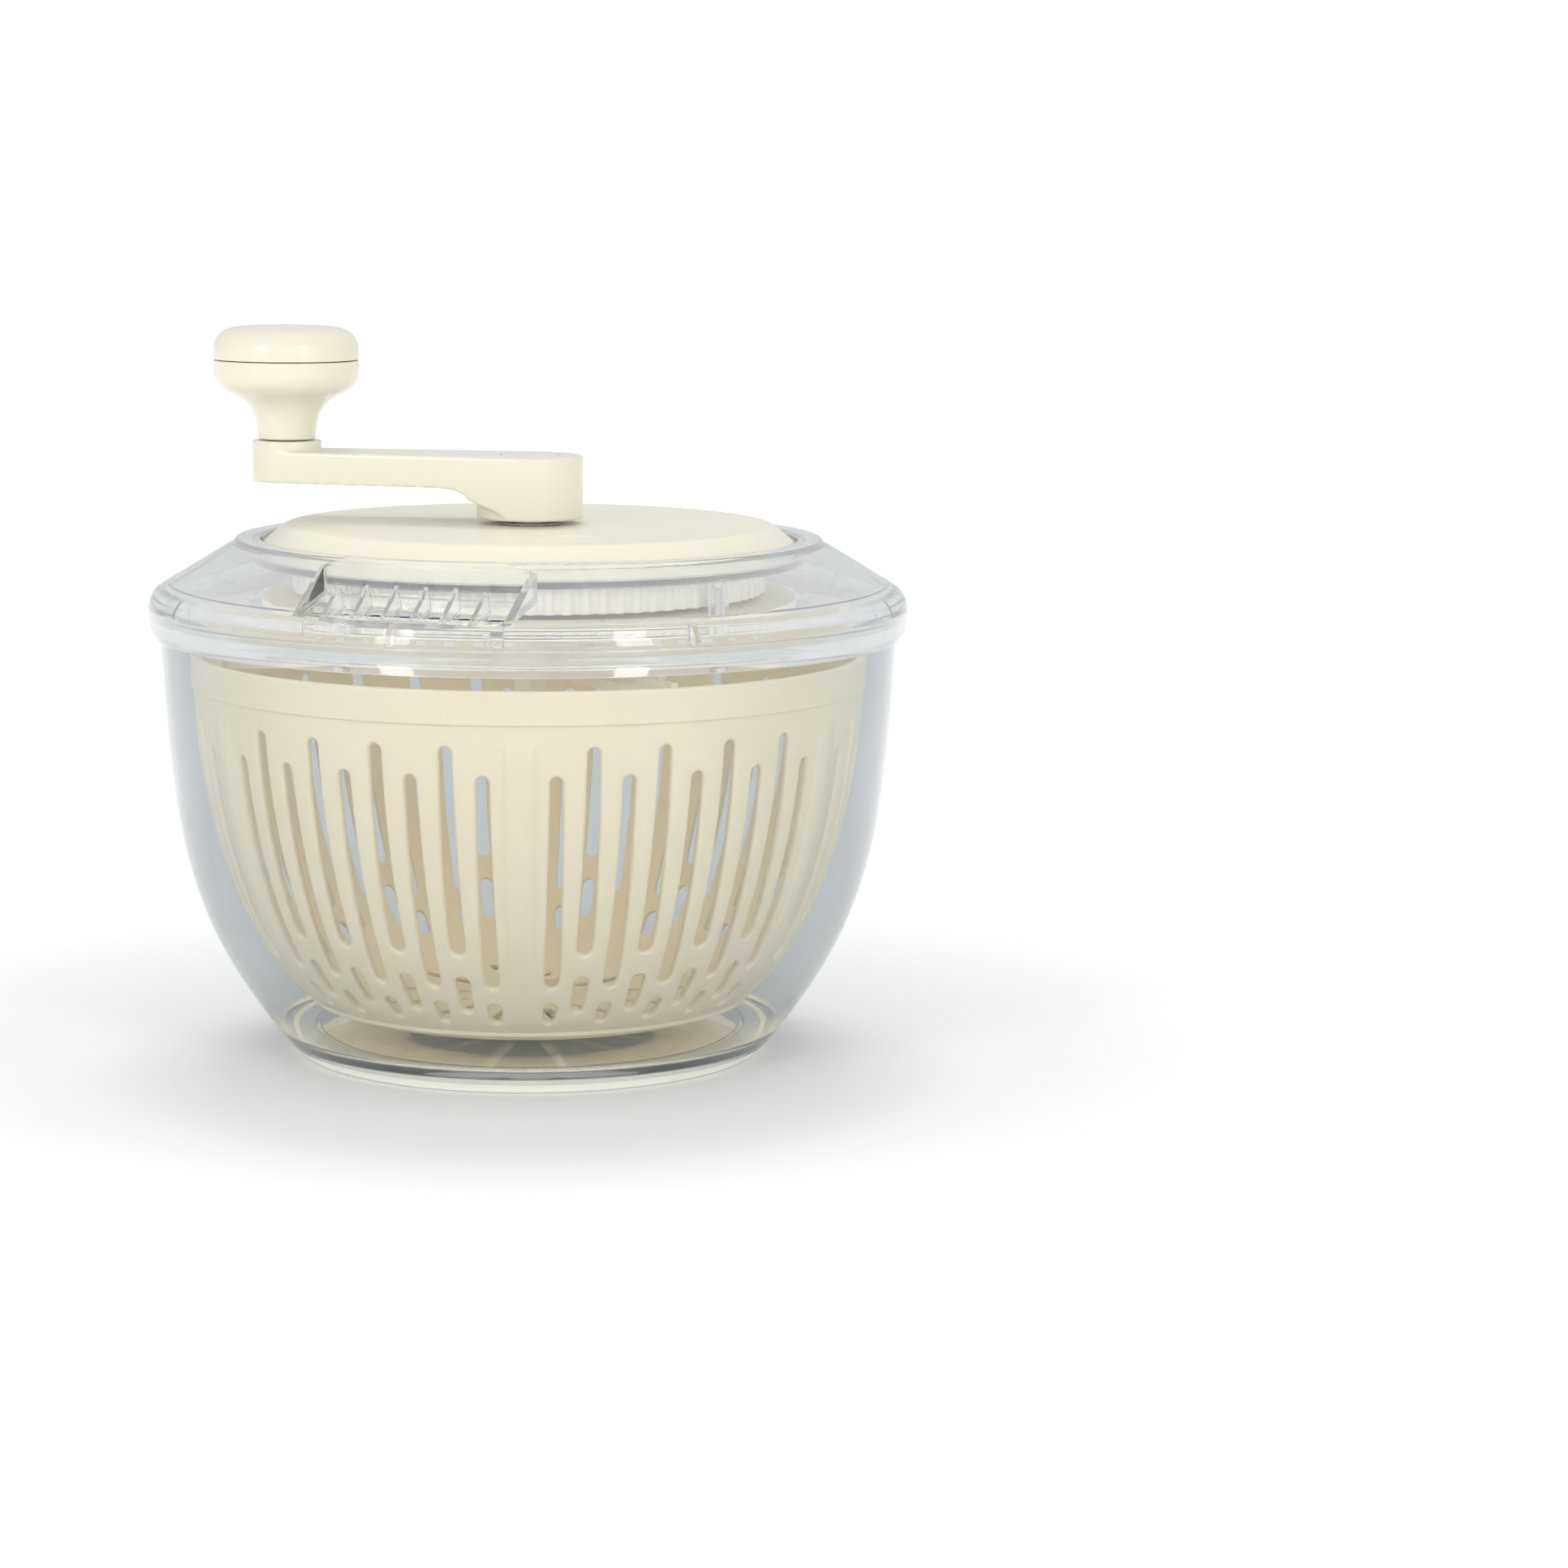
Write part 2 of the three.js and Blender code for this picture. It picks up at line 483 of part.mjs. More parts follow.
function lidShellBody() {
  const floor = RECESS_FLOOR_Z - RECESS_FLOOR;
  const wallR = RECESS_RADIUS + LID_WALL;
  const bore = BUSH_RADIUS + GAP;
  const inner = SHOULDER_RADIUS - 1;
  const ridge = RIDGE_Z - LID_WALL;
  const under = [[bore, floor], [wallR, floor], [wallR, ridge], [RIDGE_RADIUS - 0.6, ridge],
    [inner, coneZ(inner) - 1.2 * LID_WALL], [SKIRT_RADIUS, BOWL_RIM_Z + 3], [SKIRT_RADIUS, SKIRT_Z]];
  const recess = [[RECESS_RADIUS, RIDGE_Z], [RECESS_RADIUS, RECESS_FLOOR_Z], [bore, RECESS_FLOOR_Z]];
  return turned([...under, ...lidOutside(), ...recess]);
}

function locatingWall() {
  const inner = LOCATING_RADIUS - LOCATING_WALL;
  return ring(inner, LOCATING_RADIUS, BOWL_RIM_Z - LOCATING_DEPTH, coneZ(LOCATING_RADIUS) - LID_WALL);
}

// Ribs across the skirt that rest on the bowl's rim.
function lidTabs() {
  const tabs = [];
  const [near, far] = [LOCATING_RADIUS - 0.8, SKIRT_RADIUS + 0.8];
  for (let i = 0; i < TAB_COUNT; i++) {
    const tab = box(-TAB_WIDTH / 2, TAB_WIDTH / 2, -far, -near, BOWL_RIM_Z + GAP, BOWL_RIM_Z + 5.4);
    tabs.push(toAzimuth(tab, TAB_PHASE + (360 / TAB_COUNT) * i));
  }
  return tabs;
}

function screwPlaces() {
  return Array.from({ length: SCREW_COUNT }, (_, i) => (360 / SCREW_COUNT) * (i + 0.5));
}

const outOnOrbit = (solid, orbit, azimuth) => toAzimuth(solid.translate([0, -orbit, 0]), azimuth);

function lidBosses() {
  const boss = ring(SCREW_RADIUS + GAP, SCREW_BOSS_RADIUS, BASE_TOP_Z + GAP, RECESS_FLOOR_Z - OVER, TINY);
  return screwPlaces().map((azimuth) => outOnOrbit(boss, SCREW_ORBIT, azimuth));
}

// The spout: a tray sunk in the cone, with a floor that slopes out, fins across its mouth and slots between them.
const SPOUT_BACK = RECESS_RADIUS + LID_WALL + SPOUT_WALL; // distance of its back wall from the axis
const SPOUT_FRONT = SHOULDER_RADIUS - 0.6;
const SPOUT_FLOOR_BACK = coneZ(SPOUT_BACK) - SPOUT_DEPTH;
const SPOUT_FLOOR_FRONT = SHOULDER_Z - SPOUT_LIP;
const acrossSpout = (share) => SPOUT_BACK + share * (SPOUT_FRONT - SPOUT_BACK);
const spoutFloorZ = (d) => {
  const share = (d - SPOUT_BACK) / (SPOUT_FRONT - SPOUT_BACK);
  return SPOUT_FLOOR_BACK + share * (SPOUT_FLOOR_FRONT - SPOUT_FLOOR_BACK);
};

function spoutTray() {
  const [back, front] = [SPOUT_BACK - SPOUT_WALL, SPOUT_FRONT + OVER];
  const floor = [[back, spoutFloorZ(back) - SPOUT_WALL], [front, spoutFloorZ(front) - SPOUT_WALL]];
  return upright([...floor, [front, RIDGE_Z], [back, RIDGE_Z]], SPOUT_WIDTH + 2 * SPOUT_WALL);
}

function spoutRoom() {
  const floor = [[SPOUT_BACK, SPOUT_FLOOR_BACK], [SPOUT_FRONT, SPOUT_FLOOR_FRONT]];
  return upright([...floor, [SPOUT_FRONT, RIDGE_Z + OVER], [SPOUT_BACK, RIDGE_Z + OVER]], SPOUT_WIDTH);
}

function finPlaces() {
  const pitch = SPOUT_WIDTH / (SPOUT_FINS + 1);
  return Array.from({ length: SPOUT_FINS }, (_, i) => pitch * (i + 1) - SPOUT_WIDTH / 2);
}

// Each fin is a thin blade with a free tip on the cone and an inner edge that drops to the floor.
function spoutFins() {
  const [inner, tip, middle] = [acrossSpout(0.4), acrossSpout(0.475), acrossSpout(0.66)];
  const outline = [[inner - 1, spoutFloorZ(inner) - 0.6], [SPOUT_FRONT, SPOUT_FLOOR_FRONT - 0.6],
    [SPOUT_FRONT, SPOUT_FLOOR_FRONT + 0.6], [middle, coneZ(middle) - 1.4], [tip, coneZ(tip)],
    [inner + 0.6, coneZ(tip) - 3.4]];
  return finPlaces().map((x) => upright(outline, FIN_THICKNESS).translate([x, 0, 0]));
}

function spoutSlots() {
  const pitch = SPOUT_WIDTH / (SPOUT_FINS + 1);
  const [near, far] = [acrossSpout(0.44), acrossSpout(0.8)];
  const half = pitch / 2 - FIN_THICKNESS;
  const slots = [];
  for (let i = 0; i <= SPOUT_FINS; i++) {
    const x = pitch * (i + 0.5) - SPOUT_WIDTH / 2;
    slots.push(box(x - half, x + half, -far, -near, BOWL_RIM_Z, RIDGE_Z));
  }
  return slots;
}

function lidShell() {
  const envelope = turned([[0, SKIRT_Z], ...lidOutside(), [0, RIDGE_Z]]);
  const turn = (solid) => toAzimuth(solid, SPOUT_AZIMUTH);
  const shell = joined([lidShellBody(), locatingWall(), ...lidTabs(), ...lidBosses()]);
  const tray = turn(cut(spoutTray(), [spoutRoom()])).intersect(envelope);
  const fins = turn(joined(spoutFins())).intersect(envelope);
  const opened = cut(shell, [turn(spoutRoom())]).add(tray);
  return joined([cut(opened, spoutSlots().map(turn)), fins]);
}

// ---- Gear cover and base plate ----
function gearCover() {
  const foot = RECESS_FLOOR_Z + GAP;
  const bevelZ = COVER_TOP_Z - COVER_BEVEL_HEIGHT;
  const inner = COVER_RADIUS - COVER_WALL;
  const bore = BUSH_RADIUS + GAP;
  const under = [[bore, COVER_TOP_Z - COVER_WALL], [COVER_FLAT_RADIUS - 1, COVER_TOP_Z - COVER_WALL]];
  const outside = [[COVER_RADIUS, foot], [COVER_RADIUS, bevelZ], [COVER_FLAT_RADIUS, COVER_TOP_Z]];
  const shell = turned([...under, [inner, bevelZ - 1], [inner, foot], ...outside, [bore, COVER_TOP_Z]]);
  const top = COVER_TOP_Z;
  const rim = ring(DIMPLE_RADIUS, DIMPLE_RIM_RADIUS, top - OVER, top + DIMPLE_RIM_HEIGHT, SMALL);
  const dish = disc(DIMPLE_RADIUS, top - DIMPLE_DEPTH, top + OVER);
  return shell.add(rim.translate(DIMPLE_PLACE)).subtract(dish.translate(DIMPLE_PLACE));
}

function planetPlaces() {
  return Array.from({ length: PLANETS }, (_, k) => 180 + (360 / PLANETS) * k);
}

function gearBase() {
  const plate = ring(BUSH_RADIUS + GAP, BASE_RADIUS, BASE_Z, BASE_TOP_Z);
  const boss = disc(PIN_RADIUS + 3, BASE_TOP_Z - OVER, BASE_TOP_Z + BASE_BOSS);
  const pinHole = disc(PIN_RADIUS + GAP, BASE_Z + 1, GEAR_TOP_Z, TINY);
  const screwHole = disc(SCREW_RADIUS + GAP, BASE_Z - OVER, BASE_TOP_Z + OVER, TINY);
  const onPlanets = (solid) => planetPlaces().map((azimuth) => outOnOrbit(solid, PLANET_ORBIT, azimuth));
  const onScrews = (solid) => screwPlaces().map((azimuth) => outOnOrbit(solid, SCREW_ORBIT, azimuth));
  return cut(joined([plate, ...onPlanets(boss)]), [...onPlanets(pinHole), ...onScrews(screwHole)]);
}

function lidScrew() {
  const seat = BASE_Z - GAP;
  const head = disc(SCREW_HEAD_RADIUS, seat - SCREW_HEAD, seat, TINY);
  return head.add(disc(SCREW_RADIUS, seat - SCREW_HEAD / 2, RECESS_FLOOR_Z - 5, TINY));
}

const planetPin = () => disc(PIN_RADIUS, BASE_Z + 1 + GAP, GEAR_TOP_Z - GAP, TINY);

// A bush from z0 to z1, with a flange from flangeZ up.
function bush(z0, z1, flangeZ) {
  const sleeve = ring(BUSH_BORE, BUSH_RADIUS, z0, z1, SMALL);
  return sleeve.add(ring(BUSH_BORE, BUSH_FLANGE_RADIUS, flangeZ, flangeZ + BUSH_FLANGE, SMALL));
}

// The crank's bush hangs in the lid by its flange; the sun gear's bush has its flange under the base plate.
const crankBush = () => bush(WEB_TOP_Z + RUN, COVER_TOP_Z + RUN, RECESS_FLOOR_Z + GAP);
const sunBush = () => bush(BASE_Z - GAP - BUSH_FLANGE, GEAR_Z - GAP, BASE_Z - GAP - BUSH_FLANGE);

// ---- Gears ----
const halfTooth = (Math.PI * MODULE) / 4 - BACKLASH / 2;
const halfSpace = (Math.PI * MODULE) / 4 + BACKLASH / 2;

function ringGear() {
  const ridges = [];
  for (let i = 0; i < RING_TEETH; i++) {
    for (const [offset, r] of [[0, RING_RADIUS], [0.5, RING_RADIUS - RING_RIDGE]]) {
      const angle = (2 * Math.PI * (i + offset)) / RING_TEETH;
      ridges.push([r * Math.cos(angle), r * Math.sin(angle)]);
    }
  }
  const body = prism(ridges, GEAR_Z, WEB_TOP_Z);
  const spaces = gearOutline(RING_TEETH, DEDENDUM, ADDENDUM, halfSpace, Math.PI / RING_TEETH);
  const hole = disc(SHAFT_RADIUS + GAP, GEAR_Z, WEB_TOP_Z + OVER);
  return cut(body, [prism(spaces, GEAR_Z - OVER, WEB_Z), hole]);
}

function planetGear(azimuth) {
  const towards = radians(azimuth - 90);
  const turn = towards + Math.PI - Math.PI / PLANET_TEETH;
  const outline = gearOutline(PLANET_TEETH, ADDENDUM, DEDENDUM, halfTooth, turn);
  const teeth = prism(outline, GEAR_Z, GEAR_TOP_Z);
  const bored = teeth.subtract(disc(PIN_RADIUS + RUN, GEAR_Z - OVER, GEAR_TOP_Z + OVER, TINY));
  return bored.translate([PLANET_ORBIT * Math.cos(towards), PLANET_ORBIT * Math.sin(towards), 0]);
}

function sunGear() {
  const teeth = prism(gearOutline(SUN_TEETH, ADDENDUM, DEDENDUM, halfTooth, 0), GEAR_Z, SUN_TOP_Z);
  return teeth.subtract(hexagon(HEX_ACROSS_FLATS + 2 * GAP, GEAR_Z - OVER, SUN_TOP_Z + OVER));
}

// ---- Crank ----
const alongArm = (solid) => toAzimuth(solid, CRANK_AZIMUTH);
const onKnobAxis = (solid) => outOnOrbit(solid, CRANK_REACH, CRANK_AZIMUTH);

// The arm's outline from above: two circles joined by their outer tangents.
function armPlan() {
  const wide = HUB_RADIUS - ARM_INSET;
  const lean = Math.asin((wide - BOSS_RADIUS) / CRANK_REACH);
  const steps = 8;
  const outline = [];
  for (let i = 0; i <= steps; i++) {
    const a = -lean + ((Math.PI + 2 * lean) * i) / steps;
    outline.push([wide * Math.cos(a), wide * Math.sin(a)]);
  }
  for (let i = 0; i <= steps; i++) {
    const a = Math.PI + lean + ((Math.PI - 2 * lean) * i) / steps;
    outline.push([BOSS_RADIUS * Math.cos(a), BOSS_RADIUS * Math.sin(a) - CRANK_REACH]);
  }
  return outline;
}

// The arm's side view: flat on top, with a low arch that meets the hub at a corner and slants on down its side.
function armSide() {
  const height = Math.min(ARCH_HEIGHT, ARM_Z - HUB_Z - 2);
  const root = HUB_RADIUS - RUN;
  const steps = 5;
  const outline = [[0, HUB_Z]];
  for (let i = 0; i <= steps; i++) {
    const a = (Math.PI / 2) * (i / steps);
    outline.push([root + ARCH_LENGTH * (1 - Math.cos(a)), ARM_Z - height * (1 - Math.sin(a))]);
  }
  const end = CRANK_REACH + BOSS_RADIUS + OVER;
  outline.push([end, ARM_Z], [end, ARM_TOP_Z], [0, ARM_TOP_Z]);
  return outline;
}

function crankArm() {
  const arm = prism(armPlan(), HUB_Z, ARM_TOP_Z).intersect(upright(armSide(), 3 * HUB_RADIUS));
  const hub = disc(HUB_RADIUS, HUB_Z, ARM_TOP_Z, 2 * SMALL);
  const boss = disc(BOSS_RADIUS, BOSS_Z, BOSS_TOP_Z, MEDIUM);
  const pinBore = disc(KNOB_PIN_RADIUS + GAP, BOSS_Z + BOSS_FLOOR, BOSS_TOP_Z + OVER, TINY);
  const bores = [disc(SHAFT_RADIUS + GAP, HUB_Z - OVER, SHAFT_TOP_Z + GAP),
    disc(CRANK_SCREW_RADIUS + GAP, HUB_Z, HEAD_SEAT_Z + OVER, TINY),
    disc(CRANK_SCREW_HEAD_RADIUS + GAP, HEAD_SEAT_Z, ARM_TOP_Z + OVER),
    disc(CAP_RADIUS + GAP, ARM_TOP_Z - CAP_THICKNESS - GAP, ARM_TOP_Z + OVER),
    pinBore.translate([0, -CRANK_REACH, 0])];
  return alongArm(cut(joined([hub, arm, boss.translate([0, -CRANK_REACH, 0])]), bores));
}

// A flange under the ring gear's web carries the gear; the crank is screwed to the top end.
function crankShaft() {
  const shaft = disc(FLANGE_RADIUS, FLANGE_Z, WEB_Z - GAP).add(disc(SHAFT_RADIUS, FLANGE_Z, SHAFT_TOP_Z));
  const boreZ = SHAFT_TOP_Z - CRANK_SCREW_GRIP - 2;
  return shaft.subtract(disc(CRANK_SCREW_RADIUS + GAP, boreZ, SHAFT_TOP_Z + OVER, TINY));
}

function crankScrew() {
  const seat = HEAD_SEAT_Z + GAP;
  const shank = disc(CRANK_SCREW_RADIUS, SHAFT_TOP_Z - CRANK_SCREW_GRIP, seat + OVER, TINY);
  return shank.add(disc(CRANK_SCREW_HEAD_RADIUS, seat, seat + CRANK_SCREW_HEAD, SMALL));
}

const hubCap = () => disc(CAP_RADIUS, ARM_TOP_Z - CAP_THICKNESS, ARM_TOP_Z, MEDIUM);

function knobPin() {
  const shank = disc(KNOB_PIN_RADIUS, BOSS_Z + BOSS_FLOOR + GAP, PIN_HEAD_Z + OVER, SMALL);
  return onKnobAxis(shank.add(disc(KNOB_HEAD_RADIUS, PIN_HEAD_Z, PIN_HEAD_Z + KNOB_HEAD, SMALL)));
}

// ---- Knob ----
function knobStem() {
  const inner = KNOB_RADIUS - KNOB_WALL;
  const bore = KNOB_PIN_RADIUS + RUN;
  const seat = PIN_HEAD_Z - RUN;
  const flare = sideCurve([KNOB_NECK_RADIUS + 0.4, KNOB_Z + 4], [KNOB_NECK_RADIUS + 2.4, KNOB_SPLIT_Z - 8],
    [KNOB_RADIUS - 0.4, KNOB_SPLIT_Z - 14], [KNOB_RADIUS, KNOB_SPLIT_Z - 3], 6);
  const outside = [[KNOB_NECK_RADIUS, KNOB_Z], ...flare, [KNOB_RADIUS, KNOB_SPLIT_Z]];
  const cup = KNOB_HEAD_RADIUS + 1.4;
  const inside = [[inner, KNOB_SPLIT_Z], [inner, KNOB_SPLIT_Z - 4], [cup, seat], [bore, seat]];
  return onKnobAxis(turned([[bore, KNOB_Z], ...outside, ...inside], MEDIUM));
}

function knobCap() {
  const foot = KNOB_SPLIT_Z + GAP;
  const plug = KNOB_RADIUS - KNOB_WALL - GAP;
  const top = KNOB_TOP_Z;
  const edge = sideCurve([KNOB_RADIUS, foot + 2], [KNOB_RADIUS, top - 3], [KNOB_RADIUS - 3, top - 0.6],
    [KNOB_RADIUS - 10, top - 0.2], 4);
  const rim = [[plug - 2, foot + 2], [plug - 2, foot - 3], [plug, foot - 3], [plug, foot], [KNOB_RADIUS, foot]];
  return onKnobAxis(turned([...rim, ...edge, [0, top], [0, foot + 2]], MEDIUM));
}

// ---- Drive ----
function driveShaft() {
  const topHex = hexagon(HEX_ACROSS_FLATS, GEAR_Z - GAP, SUN_TOP_Z - 0.2);
  const round = disc(SHAFT_RADIUS, CARRIER_HUB_Z - GAP, GEAR_Z - GAP);
  const lowHex = hexagon(HEX_ACROSS_FLATS, SHAFT_BOTTOM_Z, CARRIER_HUB_Z);
  const [low, high] = [CLIP_Z - GAP, CLIP_Z + CLIP_THICKNESS + GAP];
  return joined([topHex, round, lowHex]).subtract(ring(SHAFT_RADIUS - 1, SHAFT_RADIUS + 2, low, high, SMALL));
}

// An open ring in the shaft's groove that keeps the shaft from dropping out of its bush.
function driveClip() {
  const top = CLIP_Z + CLIP_THICKNESS;
  const whole = ring(SHAFT_RADIUS - 1 + GAP, BUSH_RADIUS - 0.2, CLIP_Z, top, SMALL);
  const mouth = SHAFT_RADIUS / 2;
  return whole.subtract(box(-mouth, mouth, -BUSH_FLANGE_RADIUS, 0, CLIP_Z - OVER, top + OVER));
}

function driveCarrier() {
  const hub = disc(CARRIER_HUB_RADIUS, CARRIER_Z, CARRIER_HUB_Z - 2 * GAP, 2 * SMALL);
  const bore = hexagon(HEX_ACROSS_FLATS + 2 * GAP, CARRIER_Z - OVER, CARRIER_HUB_Z + OVER);
  const half = LUG_WIDTH / 2;
  const top = CARRIER_Z + CARRIER_PLATE;
  const arms = [];
  for (let i = 0; i < CARRIER_ARMS; i++) {
    const plate = box(-half, half, -LUG_OUTER, 0, CARRIER_Z, top);
    const lugInner = LUG_OUTER - LUG_LENGTH;
    const lug = box(-half, half, -LUG_OUTER, -lugInner, CARRIER_Z - LUG_DEPTH, CARRIER_Z + OVER);
    const rib = box(-CARRIER_RIB / 2, CARRIER_RIB / 2, -LUG_OUTER + 12, 0, CARRIER_Z, top + CARRIER_RIB);
    arms.push(toAzimuth(joined([plate, lug, rib]), ARM_PHASE + (360 / CARRIER_ARMS) * i));
  }
  return joined([hub, ...arms]).subtract(bore);
}

// ---- Finishes ----
const clear = { color: 0xdfe8ee, roughness: 0.08, metalness: 0, transparent: true, opacity: 0.3 };
const cream = { color: 0xf5edd2, roughness: 0.42, metalness: 0 };
const nylon = { color: 0xf4f2ea, roughness: 0.5, metalness: 0 };
const steel = { color: 0xc9cccf, roughness: 0.3, metalness: 1 };
const rubber = { color: 0xf1f1ea, roughness: 0.8, metalness: 0 };

// ---- Assembly ----
const spinner = new THREE.Group();

function add(name, solid, finish) {
  const { vertProperties, triVerts } = solid.getMesh();
  const geometry = new THREE.BufferGeometry();
  geometry.setAttribute("position", new THREE.BufferAttribute(vertProperties, 3));
  geometry.setIndex(new THREE.BufferAttribute(triVerts, 1));
  geometry.computeVertexNormals();
  const mesh = new THREE.Mesh(geometry, new THREE.MeshStandardMaterial(finish));
  mesh.name = name;
  spinner.add(mesh);
}

add("outer_bowl", outerBowl(), clear);
add("foot_ring", footRing(), rubber);
add("pivot_bearing", pivotBearing(), nylon);
add("basket", basket(), cream);
add("lid_shell", lidShell(), clear);
add("gear_cover", gearCover(), cream);
add("gear_base", gearBase(), cream);
add("crank_bush", crankBush(), nylon);
add("sun_bush", sunBush(), nylon);
screwPlaces().forEach((azimuth, i) => {
  add(`lid_screw_${i + 1}`, outOnOrbit(lidScrew(), SCREW_ORBIT, azimuth), steel);
});
planetPlaces().forEach((azimuth, i) => {
  add(`planet_pin_${i + 1}`, outOnOrbit(planetPin(), PLANET_ORBIT, azimuth), steel);
  add(`planet_gear_${i + 1}`, planetGear(azimuth), nylon);
});
add("ring_gear", ringGear(), nylon);
add("crank_shaft", crankShaft(), steel);
add("crank_arm", crankArm(), cream);
add("crank_screw", alongArm(crankScrew()), steel);
add("hub_cap", alongArm(hubCap()), cream);
add("knob_pin", knobPin(), steel);
add("knob_stem", knobStem(), cream);
add("knob_cap", knobCap(), cream);
add("sun_gear", sunGear(), nylon);
add("drive_shaft", driveShaft(), nylon);
add("drive_clip", driveClip(), steel);
add("drive_carrier", driveCarrier(), cream);

export default spinner;
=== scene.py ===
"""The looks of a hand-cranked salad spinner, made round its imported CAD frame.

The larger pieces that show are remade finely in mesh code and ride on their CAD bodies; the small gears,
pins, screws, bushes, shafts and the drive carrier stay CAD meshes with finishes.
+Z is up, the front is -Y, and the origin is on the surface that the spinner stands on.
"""
import logging
import math
from dataclasses import dataclass, field
from enum import Enum, IntEnum
from typing import Callable, Iterable, Mapping, Sequence, Union

import bmesh
import bpy
import numpy as np
from mathutils import Matrix, Vector
from mathutils.geometry import delaunay_2d_cdt


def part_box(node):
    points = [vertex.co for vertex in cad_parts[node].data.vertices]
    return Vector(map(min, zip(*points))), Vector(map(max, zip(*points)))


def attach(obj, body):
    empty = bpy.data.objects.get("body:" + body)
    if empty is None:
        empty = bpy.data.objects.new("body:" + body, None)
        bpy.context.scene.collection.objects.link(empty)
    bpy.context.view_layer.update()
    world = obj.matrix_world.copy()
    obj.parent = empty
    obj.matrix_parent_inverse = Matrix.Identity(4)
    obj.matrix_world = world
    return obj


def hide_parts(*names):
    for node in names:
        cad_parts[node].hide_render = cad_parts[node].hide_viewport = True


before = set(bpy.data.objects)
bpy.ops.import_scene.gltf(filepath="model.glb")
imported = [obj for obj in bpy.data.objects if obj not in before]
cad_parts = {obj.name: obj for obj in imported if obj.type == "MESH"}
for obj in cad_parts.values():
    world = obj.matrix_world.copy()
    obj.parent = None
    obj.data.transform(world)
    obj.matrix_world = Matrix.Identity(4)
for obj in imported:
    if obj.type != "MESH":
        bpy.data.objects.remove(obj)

MM = 0.001
PLASTIC_IOR = 1.5
BLACK = (0.0, 0.0, 0.0)
WHITE = (1.0, 1.0, 1.0)
Array = np.ndarray
Piece = bpy.types.Object
Colour = tuple[float, float, float]
Number = Union[int, float]
log = logging.getLogger("spinner")


class Sides(IntEnum):
    """How many sides a round piece has."""

    LARGE = 192
    MEDIUM = 96
    SMALL = 48


class Body(Enum):
    """The CAD bodies that pieces ride on."""

    BOWL = "bowl"
    BEARING = "bearing"
    BASKET = "basket"
    LID = "lid"
    CRANK = "crank"
    KNOB = "knob"


class Slot(Enum):
    """The record's material slots."""

    CLEAR_BOWL = "clear_bowl"
    CLEAR_LID = "clear_lid"
    FOOT_RUBBER = "foot_rubber"
    BASKET_CREAM = "basket_cream"
    COVER_CREAM = "cover_cream"
    CRANK_CREAM = "crank_cream"
    GEAR_WHITE = "gear_white"
    NYLON = "nylon"
    STEEL = "steel"


class Cut(Enum):
    """What a boolean does with its tool."""

    JOIN = "UNION"
    REMOVE = "DIFFERENCE"
    KEEP = "INTERSECT"


# ---- Outlines ----
CORNER_ROOM = 0.48  # share of the shorter side that a rounded corner may take up
HELD_BELOW = 0.8  # corners that take up less than this share of their room get a held straight run
HOLD = 1.2  # how far out the held run starts, in lengths of the corner
NEARLY_STRAIGHT = math.radians(89)


def softened(corners: Sequence[Sequence[float]], closed: bool = False, steps: int = 4) -> Array:
    """Rounds the corners of an outline and holds its straight runs flat beside them.

    Args:
        corners: Points of two coordinates; a third is the radius that rounds that corner.
        closed: Whether the last point joins the first.
        steps: Straight pieces in each rounded corner.

    Returns:
        The rounded outline, one row of two coordinates for each point.
    """
    count = len(corners)
    points: list[Array] = []
    for i, corner in enumerate(corners):
        here = np.array(corner[:2], float)
        radius = corner[2] if len(corner) > 2 else 0.0
        if radius <= 0 or (not closed and i in (0, count - 1)):
            points.append(here)
            continue
        before = np.array(corners[i - 1][:2]) - here
        after = np.array(corners[(i + 1) % count][:2]) - here
        room = CORNER_ROOM * min(np.linalg.norm(before), np.linalg.norm(after))
        before, after = before / np.linalg.norm(before), after / np.linalg.norm(after)
        half = 0.5 * math.acos(float(np.clip(before @ after, -1, 1)))
        if half > NEARLY_STRAIGHT:
            points.append(here)
            continue
        reach = min(radius / math.tan(half), room)
        middle = (before + after) / np.linalg.norm(before + after)
        centre = here + middle * reach / math.cos(half)
        start, end = here + before * reach - centre, here + after * reach - centre
        sweep = math.pi - 2 * half
        if reach < HELD_BELOW * room:
            points.append(here + before * reach * HOLD)
        for k in range(steps + 1):
            share = k / steps
            weights = math.sin((1 - share) * sweep), math.sin(share * sweep)
            points.append(centre + (start * weights[0] + end * weights[1]) / math.sin(sweep))
        if reach < HELD_BELOW * room:
            points.append(here + after * reach * HOLD)
    return np.array(points)


def bezier(start: Sequence[float], low: Sequence[float], high: Sequence[float], end: Sequence[float],
           steps: int) -> Array:
    """Samples a cubic curve.

    Args:
        start: First point.
        low: Handle of the first point.
        high: Handle of the last point.
        end: Last point.
        steps: Number of straight pieces.

    Returns:
        The curve's points, one row each.
    """
    t = np.linspace(0, 1, steps + 1)[:, None]
    a, b, c, d = (np.array(p, float) for p in (start, low, high, end))
    return (1 - t) ** 3 * a + 3 * t * (1 - t) ** 2 * b + 3 * t**2 * (1 - t) * c + t**3 * d


def moved_in(points: Array, wall: float) -> Array:
    """Moves an open [radius, z] curve inwards by a wall, across its own direction.

    Args:
        points: The curve from its foot up.
        wall: How far it moves.

    Returns:
        The moved curve.
    """
    along = np.gradient(points, axis=0)
    along /= np.linalg.norm(along, axis=1)[:, None]
    return points + wall * np.stack([-along[:, 1], along[:, 0]], axis=1)


